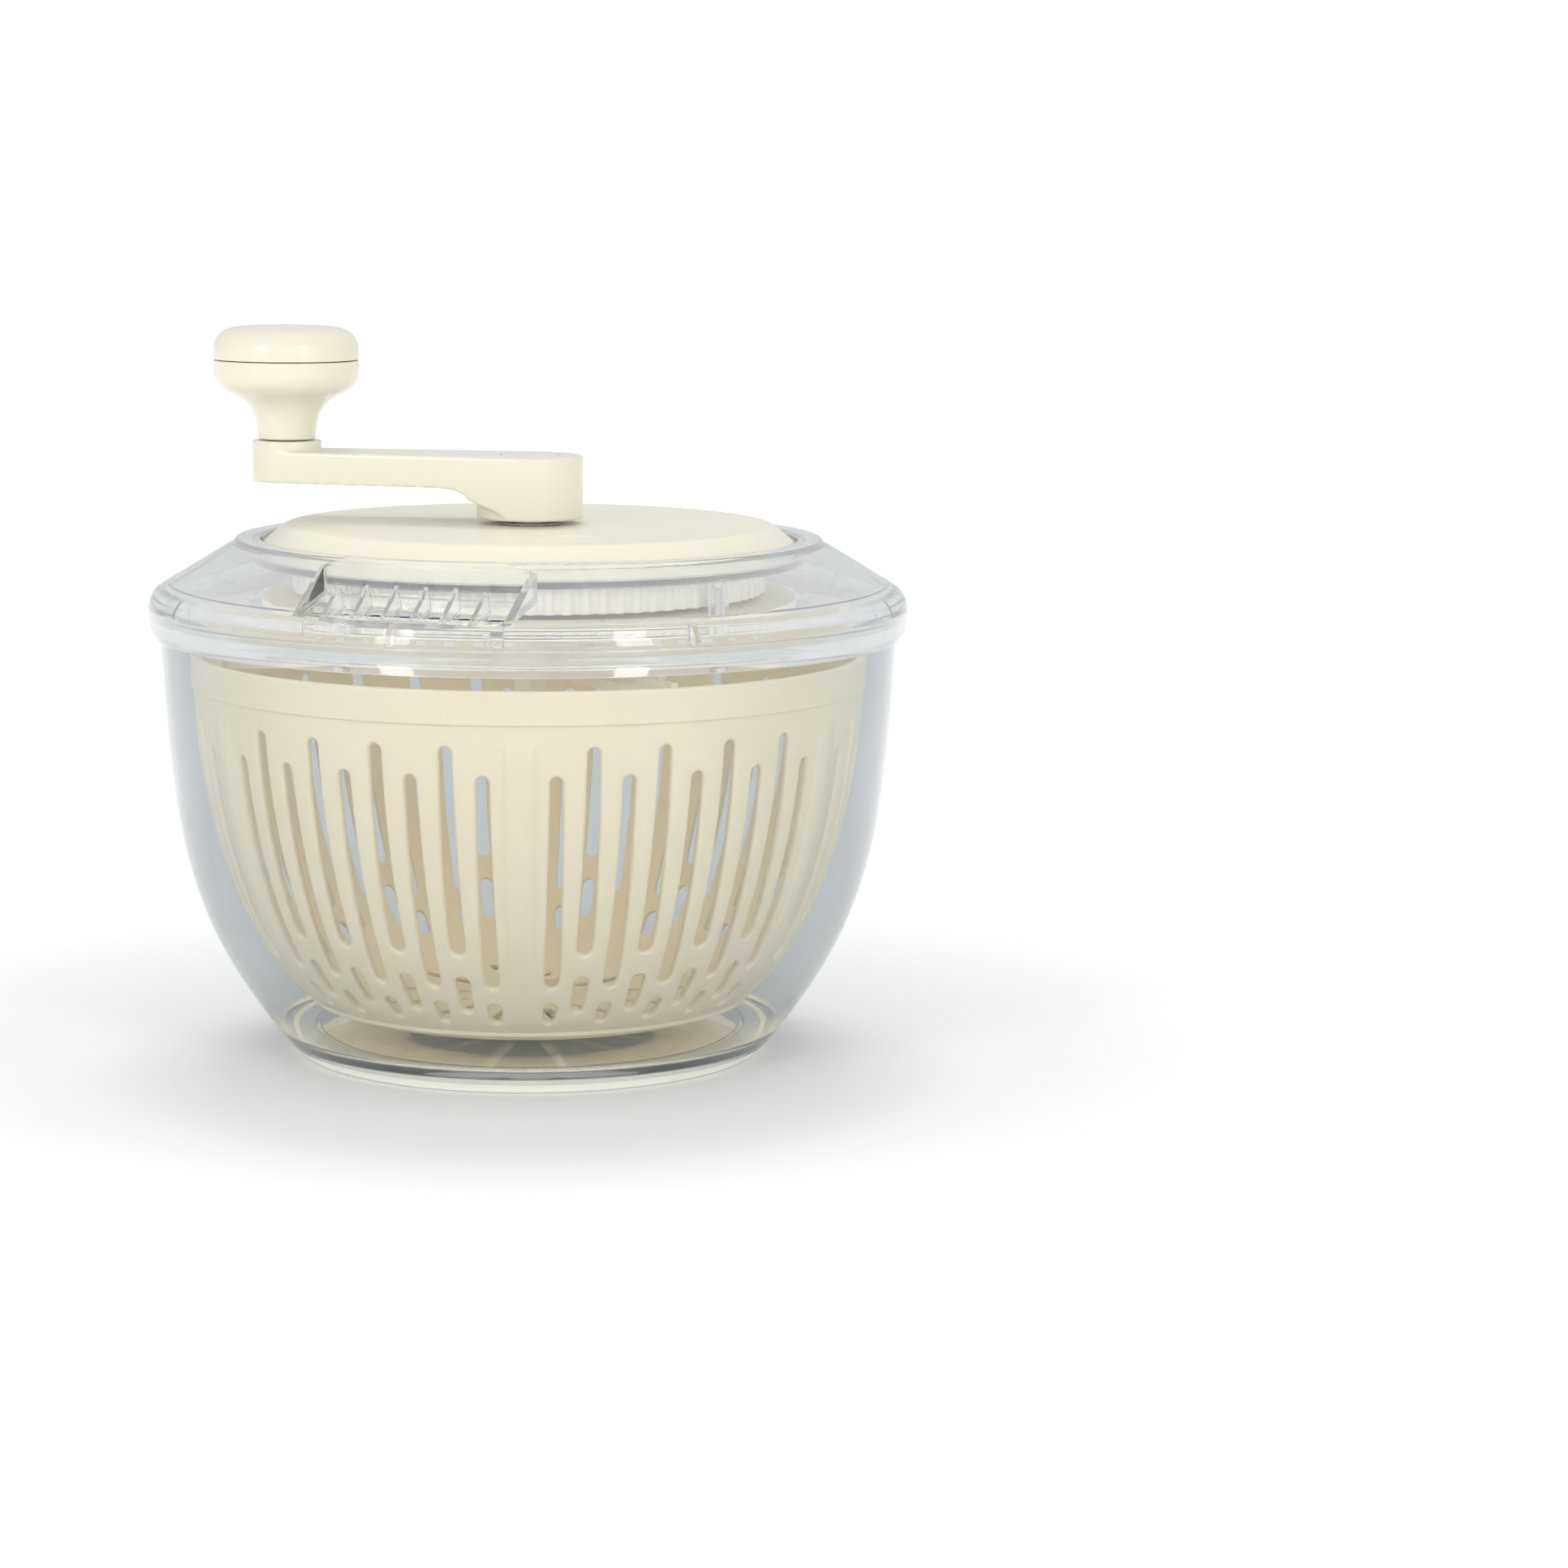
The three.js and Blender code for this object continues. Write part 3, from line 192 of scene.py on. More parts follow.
def shrunk(outline: Array, distance: float) -> Array:
    """Moves a closed anticlockwise outline inwards.

    Args:
        outline: Its points in order.
        distance: How far each side moves.

    Returns:
        The smaller outline, point for point.
    """
    ahead = np.roll(outline, -1, axis=0) - outline
    ahead /= np.linalg.norm(ahead, axis=1)[:, None]
    normals = np.stack([-ahead[:, 1], ahead[:, 0]], axis=1)
    summed = normals + np.roll(normals, 1, axis=0)
    summed /= np.maximum((summed**2).sum(axis=1), 0.5)[:, None] / 2
    return outline + distance * summed


def circle(radius: float, sides: int, centre: Sequence[float] = (0.0, 0.0), turn: float = 0.0) -> Array:
    """Points round a circle.

    Args:
        radius: Its radius.
        sides: Number of points.
        centre: Its middle.
        turn: Angle of the first point.

    Returns:
        The points, anticlockwise.
    """
    angle = turn + 2 * np.pi * np.arange(sides) / sides
    return np.stack([np.cos(angle), np.sin(angle)], axis=1) * radius + np.array(centre)


def lifted(outline: Array, z: float) -> Array:
    """Gives an outline a height."""
    return np.column_stack([outline, np.full(len(outline), z)])


# ---- Meshes ----
class Skin:
    """Gathers the faces of a piece patch by patch, welds shared points and makes the piece."""

    WELD = 2e-6
    FLAT_RUN = 1.3

    def __init__(self) -> None:
        """Starts with no faces."""
        self.points: list[Array] = []
        self.faces: list[tuple[int, ...]] = []
        self._count = 0

    def _add(self, points: Array) -> int:
        """Adds points and returns the number of the first."""
        first = self._count
        self.points.append(np.asarray(points, float).reshape(-1, 3))
        self._count += len(self.points[-1])
        return first

    def rows(self, rows: Sequence[Array], closed: bool = False, caps: bool = False) -> "Skin":
        """Joins closed loops of equal length into a band of quads.

        Args:
            rows: The loops, each with one row for a point.
            closed: Whether the last loop joins the first.
            caps: Whether the first and last loops are filled.

        Returns:
            The skin itself.
        """
        sides = len(rows[0])
        first = self._add(np.concatenate(rows))
        pairs = len(rows) if closed else len(rows) - 1
        for i in range(pairs):
            a, b = first + i * sides, first + ((i + 1) % len(rows)) * sides
            for j in range(sides):
                k = (j + 1) % sides
                self.faces.append((a + j, a + k, b + k, b + j))
        if caps:
            last = first + (len(rows) - 1) * sides
            self.faces.append(tuple(range(first, first + sides)))
            self.faces.append(tuple(range(last, last + sides)))
        return self

    def triangles(self, points: Array, faces: Iterable[Sequence[int]]) -> "Skin":
        """Adds loose faces on their own points."""
        first = self._add(points)
        self.faces.extend(tuple(first + i for i in face) for face in faces)
        return self

    def lathe(self, profile: Array, sides: int, closed: bool = False, centre: Sequence[float] = (0.0, 0.0),
              turn: float = 0.0) -> "Skin":
        """Turns a [radius, z] profile about an upright axis.

        Args:
            profile: Its points.
            sides: Number of sides.
            closed: Whether the last point joins the first.
            centre: Where the axis stands.
            turn: Angle of the first side.

        Returns:
            The skin itself.
        """
        unit = circle(1.0, sides, turn=turn)
        return self.rows([lifted(unit * r + np.array(centre), z) for r, z in profile], closed=closed)

    def slab(self, outline: Array, low: float, high: float, edge: float, stand: Matrix | None = None,
             hole: Array | None = None, steps: int = 3) -> "Skin":
        """Raises an outline into a plate with rounded edges.

        Args:
            outline: Closed anticlockwise outline.
            low: Height of the lower face.
            high: Height of the upper face.
            edge: Radius of its edges.
            stand: Matrix that stands the plate up where it belongs.
            hole: Outline of a hole, point for point with the outline.
            steps: Straight pieces in each rounded edge.

        Returns:
            The skin itself.
        """
        turns = [(edge * (1 - math.sin(a)), edge * (1 - math.cos(a)))
                 for a in np.linspace(0, math.pi / 2, steps + 1)]
        flat = edge * self.FLAT_RUN
        rise = [(flat, 0.0), *turns]
        loops = [lifted(shrunk(outline, d), low + h) for d, h in rise]
        loops += [lifted(shrunk(outline, d), high - h) for d, h in reversed(rise)]
        if hole is not None:
            loops += [lifted(shrunk(hole, -d), high - h) for d, h in rise]
            loops += [lifted(shrunk(hole, -d), low + h) for d, h in reversed(rise)]
        if stand is not None:
            turned = np.array(stand.to_3x3())
            shift = np.array(stand.to_translation())
            loops = [loop @ turned.T + shift for loop in loops]
        return self.rows(loops, closed=hole is not None, caps=hole is None)

    def piece(self, name: str, crease: float = 40.0) -> Piece:
        """Makes the piece.

        Args:
            name: The piece's name.
            crease: Edges that bend by more than this many degrees stay sharp.

        Returns:
            The new object, smooth and linked to the scene.
        """
        mesh = bpy.data.meshes.new(name)
        mesh.from_pydata(np.concatenate(self.points).tolist(), [], self.faces)
        work = bmesh.new()
        work.from_mesh(mesh)
        bmesh.ops.remove_doubles(work, verts=work.verts, dist=self.WELD)
        bmesh.ops.recalc_face_normals(work, faces=work.faces)
        work.to_mesh(mesh)
        work.free()
        made = bpy.data.objects.new(name, mesh)
        bpy.context.scene.collection.objects.link(made)
        smooth(made, crease)
        return made


def smooth(piece: Piece, crease: float) -> None:
    """Shades a piece smooth, apart from edges that bend by more than crease degrees."""
    piece.data.shade_smooth()
    piece.data.set_sharp_from_angle(angle=math.radians(crease))


def settled(piece: Piece) -> Piece:
    """Applies a piece's modifiers to its mesh.

    Args:
        piece: The piece.

    Returns:
        The same piece, with no modifiers.
    """
    graph = bpy.context.evaluated_depsgraph_get()
    mesh = bpy.data.meshes.new_from_object(piece.evaluated_get(graph))
    piece.modifiers.clear()
    old, piece.data = piece.data, mesh
    mesh.name = piece.name
    bpy.data.meshes.remove(old)
    return piece


def combined(piece: Piece, tools: Iterable[Piece], cut: Cut) -> Piece:
    """Joins, cuts or intersects a piece with tools, which are used up.

    Args:
        piece: The piece that is changed.
        tools: Closed pieces.
        cut: What is done.

    Returns:
        The same piece.
    """
    used = list(tools)
    for tool in used:
        change = piece.modifiers.new(cut.name, "BOOLEAN")
        change.operation, change.object, change.solver = cut.value, tool, "MANIFOLD"
        settled(piece)
    for tool in used:
        bpy.data.objects.remove(tool)
    return piece


def about_z(degrees: float) -> Matrix:
    """A turn about the Z axis that takes the front to an azimuth."""
    return Matrix.Rotation(math.radians(degrees), 4, "Z")


def standing(degrees: float) -> Matrix:
    """Stands [distance, z] outlines up so that they face an azimuth, with their thickness across."""
    return about_z(degrees) @ Matrix(((0, 0, 1, 0), (-1, 0, 0, 0), (0, 1, 0, 0), (0, 0, 0, 1)))


def turned_by(piece: Piece, matrix: Matrix) -> Piece:
    """Moves a piece's mesh, so that the object itself stays at the origin."""
    piece.data.transform(matrix)
    return piece


def block(x: Sequence[float], y: Sequence[float], z: Sequence[float], degrees: float = 0.0,
          edge: float = 0.0002, corner: float = 0.0) -> tuple[Array, float, float, float, Matrix]:
    """A slab's settings for a rounded block that faces an azimuth.

    Args:
        x: Its ends across.
        y: Its ends along Y before it is turned.
        z: Its lower and upper face.
        degrees: The azimuth it is turned to.
        edge: Radius of its flat edges.
        corner: Radius of its upright edges.

    Returns:
        The settings in the order that slab takes them.
    """
    radius = corner or edge
    corners = [(x[0], y[0], radius), (x[1], y[0], radius), (x[1], y[1], radius), (x[0], y[1], radius)]
    return softened(corners, closed=True, steps=3), z[0], z[1], edge, about_z(degrees)


@dataclass(frozen=True)
class SheetSlot:
    """A rounded slot in a sheet: two circles joined by their tangents."""

    low: tuple[float, float]
    high: tuple[float, float]
    low_radius: float
    high_radius: float
    arc: int = 9
    run: int = 14

    def outline(self, grow: float) -> Array:
        """The slot's edge, grown by a distance.

        Args:
            grow: How far outside the slot's own edge.

        Returns:
            The points, anticlockwise, always the same number of them.
        """
        low, high = np.array(self.low), np.array(self.high)
        along = (high - low) / np.linalg.norm(high - low)
        across = np.array([along[1], -along[0]])
        a, b = self.low_radius + grow, self.high_radius + grow
        up = np.linspace(-np.pi / 2, np.pi / 2, self.arc + 1)[:, None]
        top = high + b * (across * np.sin(-up) + along * np.cos(up))
        bottom = low - a * (across * np.sin(-up) + along * np.cos(up))
        share = np.linspace(0, 1, self.run + 1)[1:-1, None]
        left = top[-1] + (bottom[0] - top[-1]) * share
        right = bottom[-1] + (top[0] - bottom[-1]) * share
        return np.concatenate([top, left, bottom, right])

    def holds(self, points: Array, grow: float) -> Array:
        """Which points lie inside the slot grown by a distance."""
        low, high = np.array(self.low), np.array(self.high)
        along = high - low
        share = np.clip((points - low) @ along / (along @ along), 0, 1)
        nearest = low + share[:, None] * along
        radius = self.low_radius + (self.high_radius - self.low_radius) * share + grow
        return np.linalg.norm(points - nearest, axis=1) < radius


@dataclass
class SlottedSheet:
    """A sheet of even thickness with softly edged slots through it."""

    place: Callable[[Array, float], Array]
    edges: list[Array]
    grid: Array
    slots: list[SheetSlot]
    wall: float
    outer_edge: float
    inner_edge: float
    outside: Callable[[Array], Array]

    SCALE = 1000.0
    CLOSE = 1e-5
    ROOM = 0.7 * MM
    TOLERANCE = 0.02 * MM
    OUTER_STEPS = 6
    INNER_STEPS = 4

    def add_to(self, skin: Skin) -> None:
        """Adds both faces of the sheet and the walls of its slots to a skin."""
        self.face(skin, 0.0, self.outer_edge)
        self.face(skin, self.wall, self.inner_edge)
        for slot in self.slots:
            rim = [(self.outer_edge * (1 - math.sin(a)), self.outer_edge * (1 - math.cos(a)))
                   for a in np.linspace(0, math.pi / 2, self.OUTER_STEPS)]
            rim += [(self.inner_edge * (1 - math.cos(a)), self.wall - self.inner_edge * (1 - math.sin(a)))
                    for a in np.linspace(0, math.pi / 2, self.INNER_STEPS)]
            skin.rows([self.place(slot.outline(grow), depth) for grow, depth in rim])

    def face(self, skin: Skin, depth: float, edge: float) -> None:
        """Adds one face of the sheet, triangulated between its edges and its slots."""
        points, lines = [], []
        for loop in [*self.edges, *(slot.outline(edge) for slot in self.slots)]:
            first = sum(len(p) for p in points)
            points.append(loop)
            lines += [(first + i, first + (i + 1) % len(loop)) for i in range(len(loop))]
        free = ~self._in_slots(self.grid, edge + self.ROOM)
        points.append(self.grid[free])
        flat = [Vector(p) for p in np.concatenate(points) * self.SCALE]
        found, _, faces, *_ = delaunay_2d_cdt(flat, lines, [], 0, self.CLOSE)
        found = np.array([tuple(p) for p in found]) / self.SCALE
        faces = np.array([face for face in faces if len(face) == 3])
        middles = found[faces].mean(axis=1)
        wanted = ~(self._in_slots(middles, edge - self.TOLERANCE) | self.outside(middles))
        skin.triangles(self.place(found, depth), faces[wanted].tolist())

    def _in_slots(self, points: Array, grow: float) -> Array:
        """Which points lie inside any slot grown by a distance."""
        inside = np.zeros(len(points), bool)
        for slot in self.slots:
            inside |= slot.holds(points, grow)
        return inside


# ---- Shader nodes ----
class Wire:
    """An output of a node, with Python's operators for maths on values."""

    def __init__(self, graph: "Graph", socket: bpy.types.NodeSocket) -> None:
        """Wraps a socket of a graph."""
        self.graph = graph
        self.socket = socket

    def _maths(self, operation: str, first: "Wire | Number", second: "Wire | Number") -> "Wire":
        """Adds one Math node for an operation on two values."""
        return self.graph.wire("ShaderNodeMath", {"operation": operation}, {0: first, 1: second})

    def __add__(self, other: "Wire | Number") -> "Wire":
        """Adds a value."""
        return self._maths("ADD", self, other)

    __radd__ = __add__

    def __sub__(self, other: "Wire | Number") -> "Wire":
        """Takes a value away."""
        return self._maths("SUBTRACT", self, other)

    def __rsub__(self, other: "Wire | Number") -> "Wire":
        """Takes this from a value."""
        return self._maths("SUBTRACT", other, self)

    def __mul__(self, other: "Wire | Number") -> "Wire":
        """Multiplies by a value."""
        return self._maths("MULTIPLY", self, other)

    __rmul__ = __mul__

    def __pow__(self, other: "Wire | Number") -> "Wire":
        """Raises to a power."""
        return self._maths("POWER", self, other)

    def clamped(self) -> "Wire":
        """Keeps the value between nothing and one."""
        return self.graph.wire("ShaderNodeClamp", None, {"Value": self})


class Graph:
    """The node tree of one material or world."""

    def __init__(self, owner: bpy.types.Material | bpy.types.World) -> None:
        """Empties the owner's node tree.

        Args:
            owner: The material or world.
        """
        owner.use_nodes = True
        self.owner = owner
        self.tree = owner.node_tree
        self.tree.nodes.clear()

    def node(self, kind: str, settings: Mapping[str, object] | None = None,
             inputs: Mapping[str | int, object] | None = None) -> bpy.types.Node:
        """Adds a node.

        Args:
            kind: The node's type.
            settings: Its properties, set first; stops are a ramp's [place, colour] pairs.
            inputs: Values or wires of its sockets, by name or number.

        Returns:
            The new node.
        """
        made = self.tree.nodes.new(kind)
        for key, value in (settings or {}).items():
            if key == "stops":
                self._stops(made, value)
            else:
                setattr(made, key, value)
        for key, value in (inputs or {}).items():
            if isinstance(value, Wire):
                self.tree.links.new(value.socket, made.inputs[key])
            else:
                made.inputs[key].default_value = value
        return made

    @staticmethod
    def _stops(ramp: bpy.types.Node, stops: Sequence[tuple[float, Colour]]) -> None:
        """Sets a ramp's stops."""
        while len(ramp.color_ramp.elements) < len(stops):
            ramp.color_ramp.elements.new(1.0)
        for element, (place, colour) in zip(ramp.color_ramp.elements, stops):
            element.position, element.color = place, (*colour, 1.0)

    def wire(self, kind: str, settings: Mapping[str, object] | None = None,
             inputs: Mapping[str | int, object] | None = None, output: str | int = 0) -> Wire:
        """Adds a node and returns one of its outputs as a wire."""
        return Wire(self, self.node(kind, settings, inputs).outputs[output])

    def noise(self, size: float, detail: float = 2.0, roughness: float = 0.5,
              stretch: Sequence[float] = (1.0, 1.0, 1.0)) -> Wire:
        """Noise with features of a given size.

        Args:
            size: Size of its features.
            detail: Number of finer layers.
            roughness: Strength of the finer layers.
            stretch: How much coarser it is along each axis.

        Returns:
            The noise's value, about 0.5 in the middle.
        """
        place = self.wire("ShaderNodeTexCoord", output="Object")
        if tuple(stretch) != (1.0, 1.0, 1.0):
            scale = tuple(1 / s for s in stretch)
            place = self.wire("ShaderNodeMapping", None, {"Vector": place, "Scale": scale})
        inputs = {"Vector": place, "Scale": 1 / size, "Detail": detail, "Roughness": roughness}
        return self.wire("ShaderNodeTexNoise", None, inputs)

    def between(self, share: Wire, low: "Wire | Colour", high: "Wire | Colour") -> Wire:
        """A colour between two, by a share."""
        ends = [end if isinstance(end, Wire) else (*end, 1.0) for end in (low, high)]
        return self.wire("ShaderNodeMix", {"data_type": "RGBA"}, {"Factor": share, 6: ends[0], 7: ends[1]}, 2)

    def bump(self, height: Wire, depth: float, strength: float = 1.0) -> Wire:
        """A normal bent by a height."""
        inputs = {"Height": height, "Distance": depth, "Strength": strength}
        return self.wire("ShaderNodeBump", None, inputs)

    def shader(self, inputs: Mapping[str | int, object]) -> Wire:
        """A Principled shader."""
        return self.wire("ShaderNodeBsdfPrincipled", None, inputs)

    def finish(self, surface: Wire) -> bpy.types.Material:
        """Puts a shader on the surface and returns the material."""
        self.node("ShaderNodeOutputMaterial", None, {"Surface": surface})
        return self.owner

    def seen_through(self) -> Wire:
        """One where clear plastic shows a surface straight to the eye, nothing elsewhere."""
        path = self.node("ShaderNodeLightPath")
        bounced = Wire(self, path.outputs["Diffuse Depth"])
        return Wire(self, path.outputs["Is Transmission Ray"]) * (1 - bounced.clamped())


# ---- Finishes ----
@dataclass(frozen=True)
class Finish:
    """A finish that belongs to one of the record's slots."""

    slot: Slot

    def material(self) -> bpy.types.Material:
        """The finish's material, made the first time it is asked for."""
        name = f"{self.slot.value}_{self.kind()}"
        return bpy.data.materials.get(name) or self.paint(Graph(bpy.data.materials.new(name)))

    def kind(self) -> str:
        """Tells finishes of one slot apart."""
        return "finish"

    def paint(self, graph: Graph) -> bpy.types.Material:
        """Fills in the material's nodes."""
        raise NotImplementedError


@dataclass(frozen=True)
class MouldedPlastic(Finish):
    """Opaque moulded plastic: a little uneven in tone, with a very fine satin grain."""

    colour: Colour
    deep: Colour
    roughness: float = 0.36
    grain: float = 0.35 * MM
    grain_depth: float = 0.006 * MM
    cloud_size: float = 42 * MM
    flow_size: float = 9 * MM
    flow_depth: float = 0.03 * MM
    variant: str = "finish"

    def kind(self) -> str:
        """The variant's name."""
        return self.variant

    def paint(self, graph: Graph) -> bpy.types.Material:
        """Mixes an uneven tone in large clouds, flow marks and grain."""
        cloud = graph.noise(self.cloud_size, 3.0)
        flow = graph.noise(self.flow_size, 2.0, stretch=(1.0, 1.0, 4.0))
        grain = graph.noise(self.grain, 2.0, 0.6)
        tone = graph.between(cloud * 0.6 + flow * 0.4, self.deep, self.colour)
        rough = self.roughness - 0.05 + 0.07 * flow + 0.05 * grain
        swell = graph.bump(flow, self.flow_depth, 0.6)
        height = graph.node("ShaderNodeBump", None, {"Height": grain, "Distance": self.grain_depth,
                                                     "Normal": swell})
        return graph.finish(graph.shader({
            "Base Color": tone, "Roughness": rough, "Normal": Wire(graph, height.outputs[0]),
            "IOR": PLASTIC_IOR}))


@dataclass(frozen=True)
class ClearPlastic(Finish):
    """Clear moulded plastic: it bends what is behind it, lets lamps through, and its sides turn blue-grey
    with a painted shade mixed in as a haze.
    """

    tint: Colour
    body: Colour
    lamp_tint: Colour = (0.99, 0.99, 0.99)
    least: float = 0.012
    most: float = 0.3
    power: float = 1.6
    roughness: float = 0.02
    ripple_size: float = 16 * MM
    ripple_depth: float = 0.03 * MM
    rub_size: float = 1.4 * MM

    def paint(self, graph: Graph) -> bpy.types.Material:
        """Mixes a clear shader with a haze of painted shade, more of it where the surface turns away, with a
        clear path for lamps.
        """
        away = graph.wire("ShaderNodeLayerWeight", None, {"Blend": 0.5}, "Facing")
        ripple = graph.noise(self.ripple_size, 2.0)
        rub = graph.noise(self.rub_size, 3.0, 0.7, stretch=(1.0, 1.0, 5.0))
        normal = graph.bump(ripple, self.ripple_depth, 0.4)
        share = self.least + (self.most - self.least) * away ** self.power
        share = share + (ripple - 0.5) * 0.03 + rub * 0.01
        lighter = tuple(min(1.0, c * 1.12) for c in self.body)
        # A faint real haze whose body colour is painted shade at the sides, standing in for darker
        # reflections; a pale body paints light over dark parts behind it.
        haze_and_painted_shading = graph.shader({"Base Color": graph.between(ripple, self.body, lighter),
                               "Roughness": 0.08 + 0.1 * rub, "IOR": PLASTIC_IOR, "Normal": normal})
        clear = graph.shader({"Base Color": (*self.tint, 1.0), "Roughness": self.roughness,
                              "IOR": PLASTIC_IOR, "Transmission Weight": 1.0, "Normal": normal})
        seen = graph.wire("ShaderNodeMixShader", None, {0: share, 1: clear, 2: haze_and_painted_shading})
        lamps = graph.wire("ShaderNodeBsdfTransparent", None, {"Color": (*self.lamp_tint, 1.0)})
        shadow = graph.wire("ShaderNodeLightPath", output="Is Shadow Ray")
        return graph.finish(graph.wire("ShaderNodeMixShader", None, {0: shadow, 1: seen, 2: lamps}))


@dataclass(frozen=True)
class SoftRubber(Finish):
    """Milky soft rubber with a dry, dusty surface."""

    colour: Colour
    dusty: Colour

    def paint(self, graph: Graph) -> bpy.types.Material:
        """Mixes dust over the rubber and a fine pitted grain."""
        dust = graph.noise(6 * MM, 4.0, 0.65)
        pits = graph.noise(0.5 * MM, 3.0, 0.6)
        return graph.finish(graph.shader({
            "Base Color": graph.between(dust, self.dusty, self.colour),
            "Roughness": 0.55 + 0.2 * dust, "Normal": graph.bump(pits, 0.03 * MM),
            "Subsurface Weight": 0.3, "Subsurface Radius": (1.0, 1.0, 0.9),
            "Subsurface Scale": 2.0 * MM}))


@dataclass(frozen=True)
class TurnedSteel(Finish):
    """Bright steel with fine turning marks round its axis."""

    colour: Colour
    roughness: float = 0.24

    def paint(self, graph: Graph) -> bpy.types.Material:
        """Mixes marks that run round the piece with a faint dulling."""
        marks = graph.noise(0.25 * MM, 3.0, 0.6, stretch=(14.0, 14.0, 1.0))
        dull = graph.noise(3 * MM, 3.0)
        darker = tuple(c * 0.86 for c in self.colour)
        return graph.finish(graph.shader({
            "Base Color": graph.between(dull, darker, self.colour), "Metallic": 1.0,
            "Roughness": self.roughness + 0.12 * dull + 0.08 * marks,
            "Normal": graph.bump(marks, 0.01 * MM)}))


class Finishes:
    """The spinner's finishes, by where they are used."""

    # The bowl's dark blue-grey body is painted shade on its sides, in place of darker reflections; the lid's
    # pale body with a larger least share is a haze that also paints light over the dark parts inside it.
    bowl = ClearPlastic(Slot.CLEAR_BOWL, (0.975, 0.982, 0.986), (0.31, 0.35, 0.365), (0.955, 0.955, 0.95),
                        least=0.02, most=0.38)
    lid = ClearPlastic(Slot.CLEAR_LID, (0.99, 0.992, 0.992), (0.86, 0.875, 0.87), least=0.07, most=0.28)
    rubber = SoftRubber(Slot.FOOT_RUBBER, (0.9, 0.9, 0.82), (0.83, 0.83, 0.75))
    basket = MouldedPlastic(Slot.BASKET_CREAM, (0.86, 0.79, 0.58), (0.84, 0.76, 0.545))
    cover = MouldedPlastic(Slot.COVER_CREAM, (0.835, 0.80, 0.66), (0.815, 0.775, 0.63), roughness=0.3)
    # The gear plate's cream is the cover's cream made lighter: painted light that offsets the shade it sits
    # in under the lid.
    plate = MouldedPlastic(Slot.COVER_CREAM, (0.94, 0.88, 0.73), (0.92, 0.85, 0.69), variant="plate")
    crank = MouldedPlastic(Slot.CRANK_CREAM, (0.77, 0.735, 0.61), (0.75, 0.715, 0.58), roughness=0.22)
    gear = MouldedPlastic(Slot.GEAR_WHITE, (0.94, 0.92, 0.86), (0.90, 0.88, 0.81), roughness=0.42)
    nylon = MouldedPlastic(Slot.NYLON, (0.84, 0.83, 0.76), (0.80, 0.78, 0.70), roughness=0.45)
    steel = TurnedSteel(Slot.STEEL, (0.62, 0.63, 0.64))


def dressed(piece: Piece, finish: Finish, body: Body, *nodes: str) -> Piece:
    """Gives a piece its finish, its body and the CAD nodes it stands for, and reports it.

    Args:
        piece: The new piece.
        finish: Its finish.
        body: The CAD body it rides on.
        nodes: Names of the CAD nodes it replaces.

    Returns:
        The piece.
    """
    piece.data.materials.clear()
    piece.data.materials.append(finish.material())
    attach(piece, body.value)
    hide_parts(*nodes)
    log.info("%s: %d faces on %s", piece.name, len(piece.data.polygons), body.value)
    return piece


def painted(finish: Finish, *nodes: str) -> None:
    """Gives CAD nodes that stay as they are a finish.

    Args:
        finish: The finish.
        nodes: Names of the CAD nodes.
    """
    for name in nodes:
        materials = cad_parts[name].data.materials
        if not materials:
            materials.append(None)
        for i in range(len(materials)):
            materials[i] = finish.material()
        log.info("%s: CAD node with %s", name, finish.slot.value)


def top(node: str) -> float:
    """Height of the top of a CAD node."""
    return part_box(node)[1].z


def foot(node: str) -> float:
    """Height of the lowest point of a CAD node."""
    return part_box(node)[0].z


def reach(node: str) -> float:
    """Radius of a round CAD node about the axis."""
    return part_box(node)[1].x


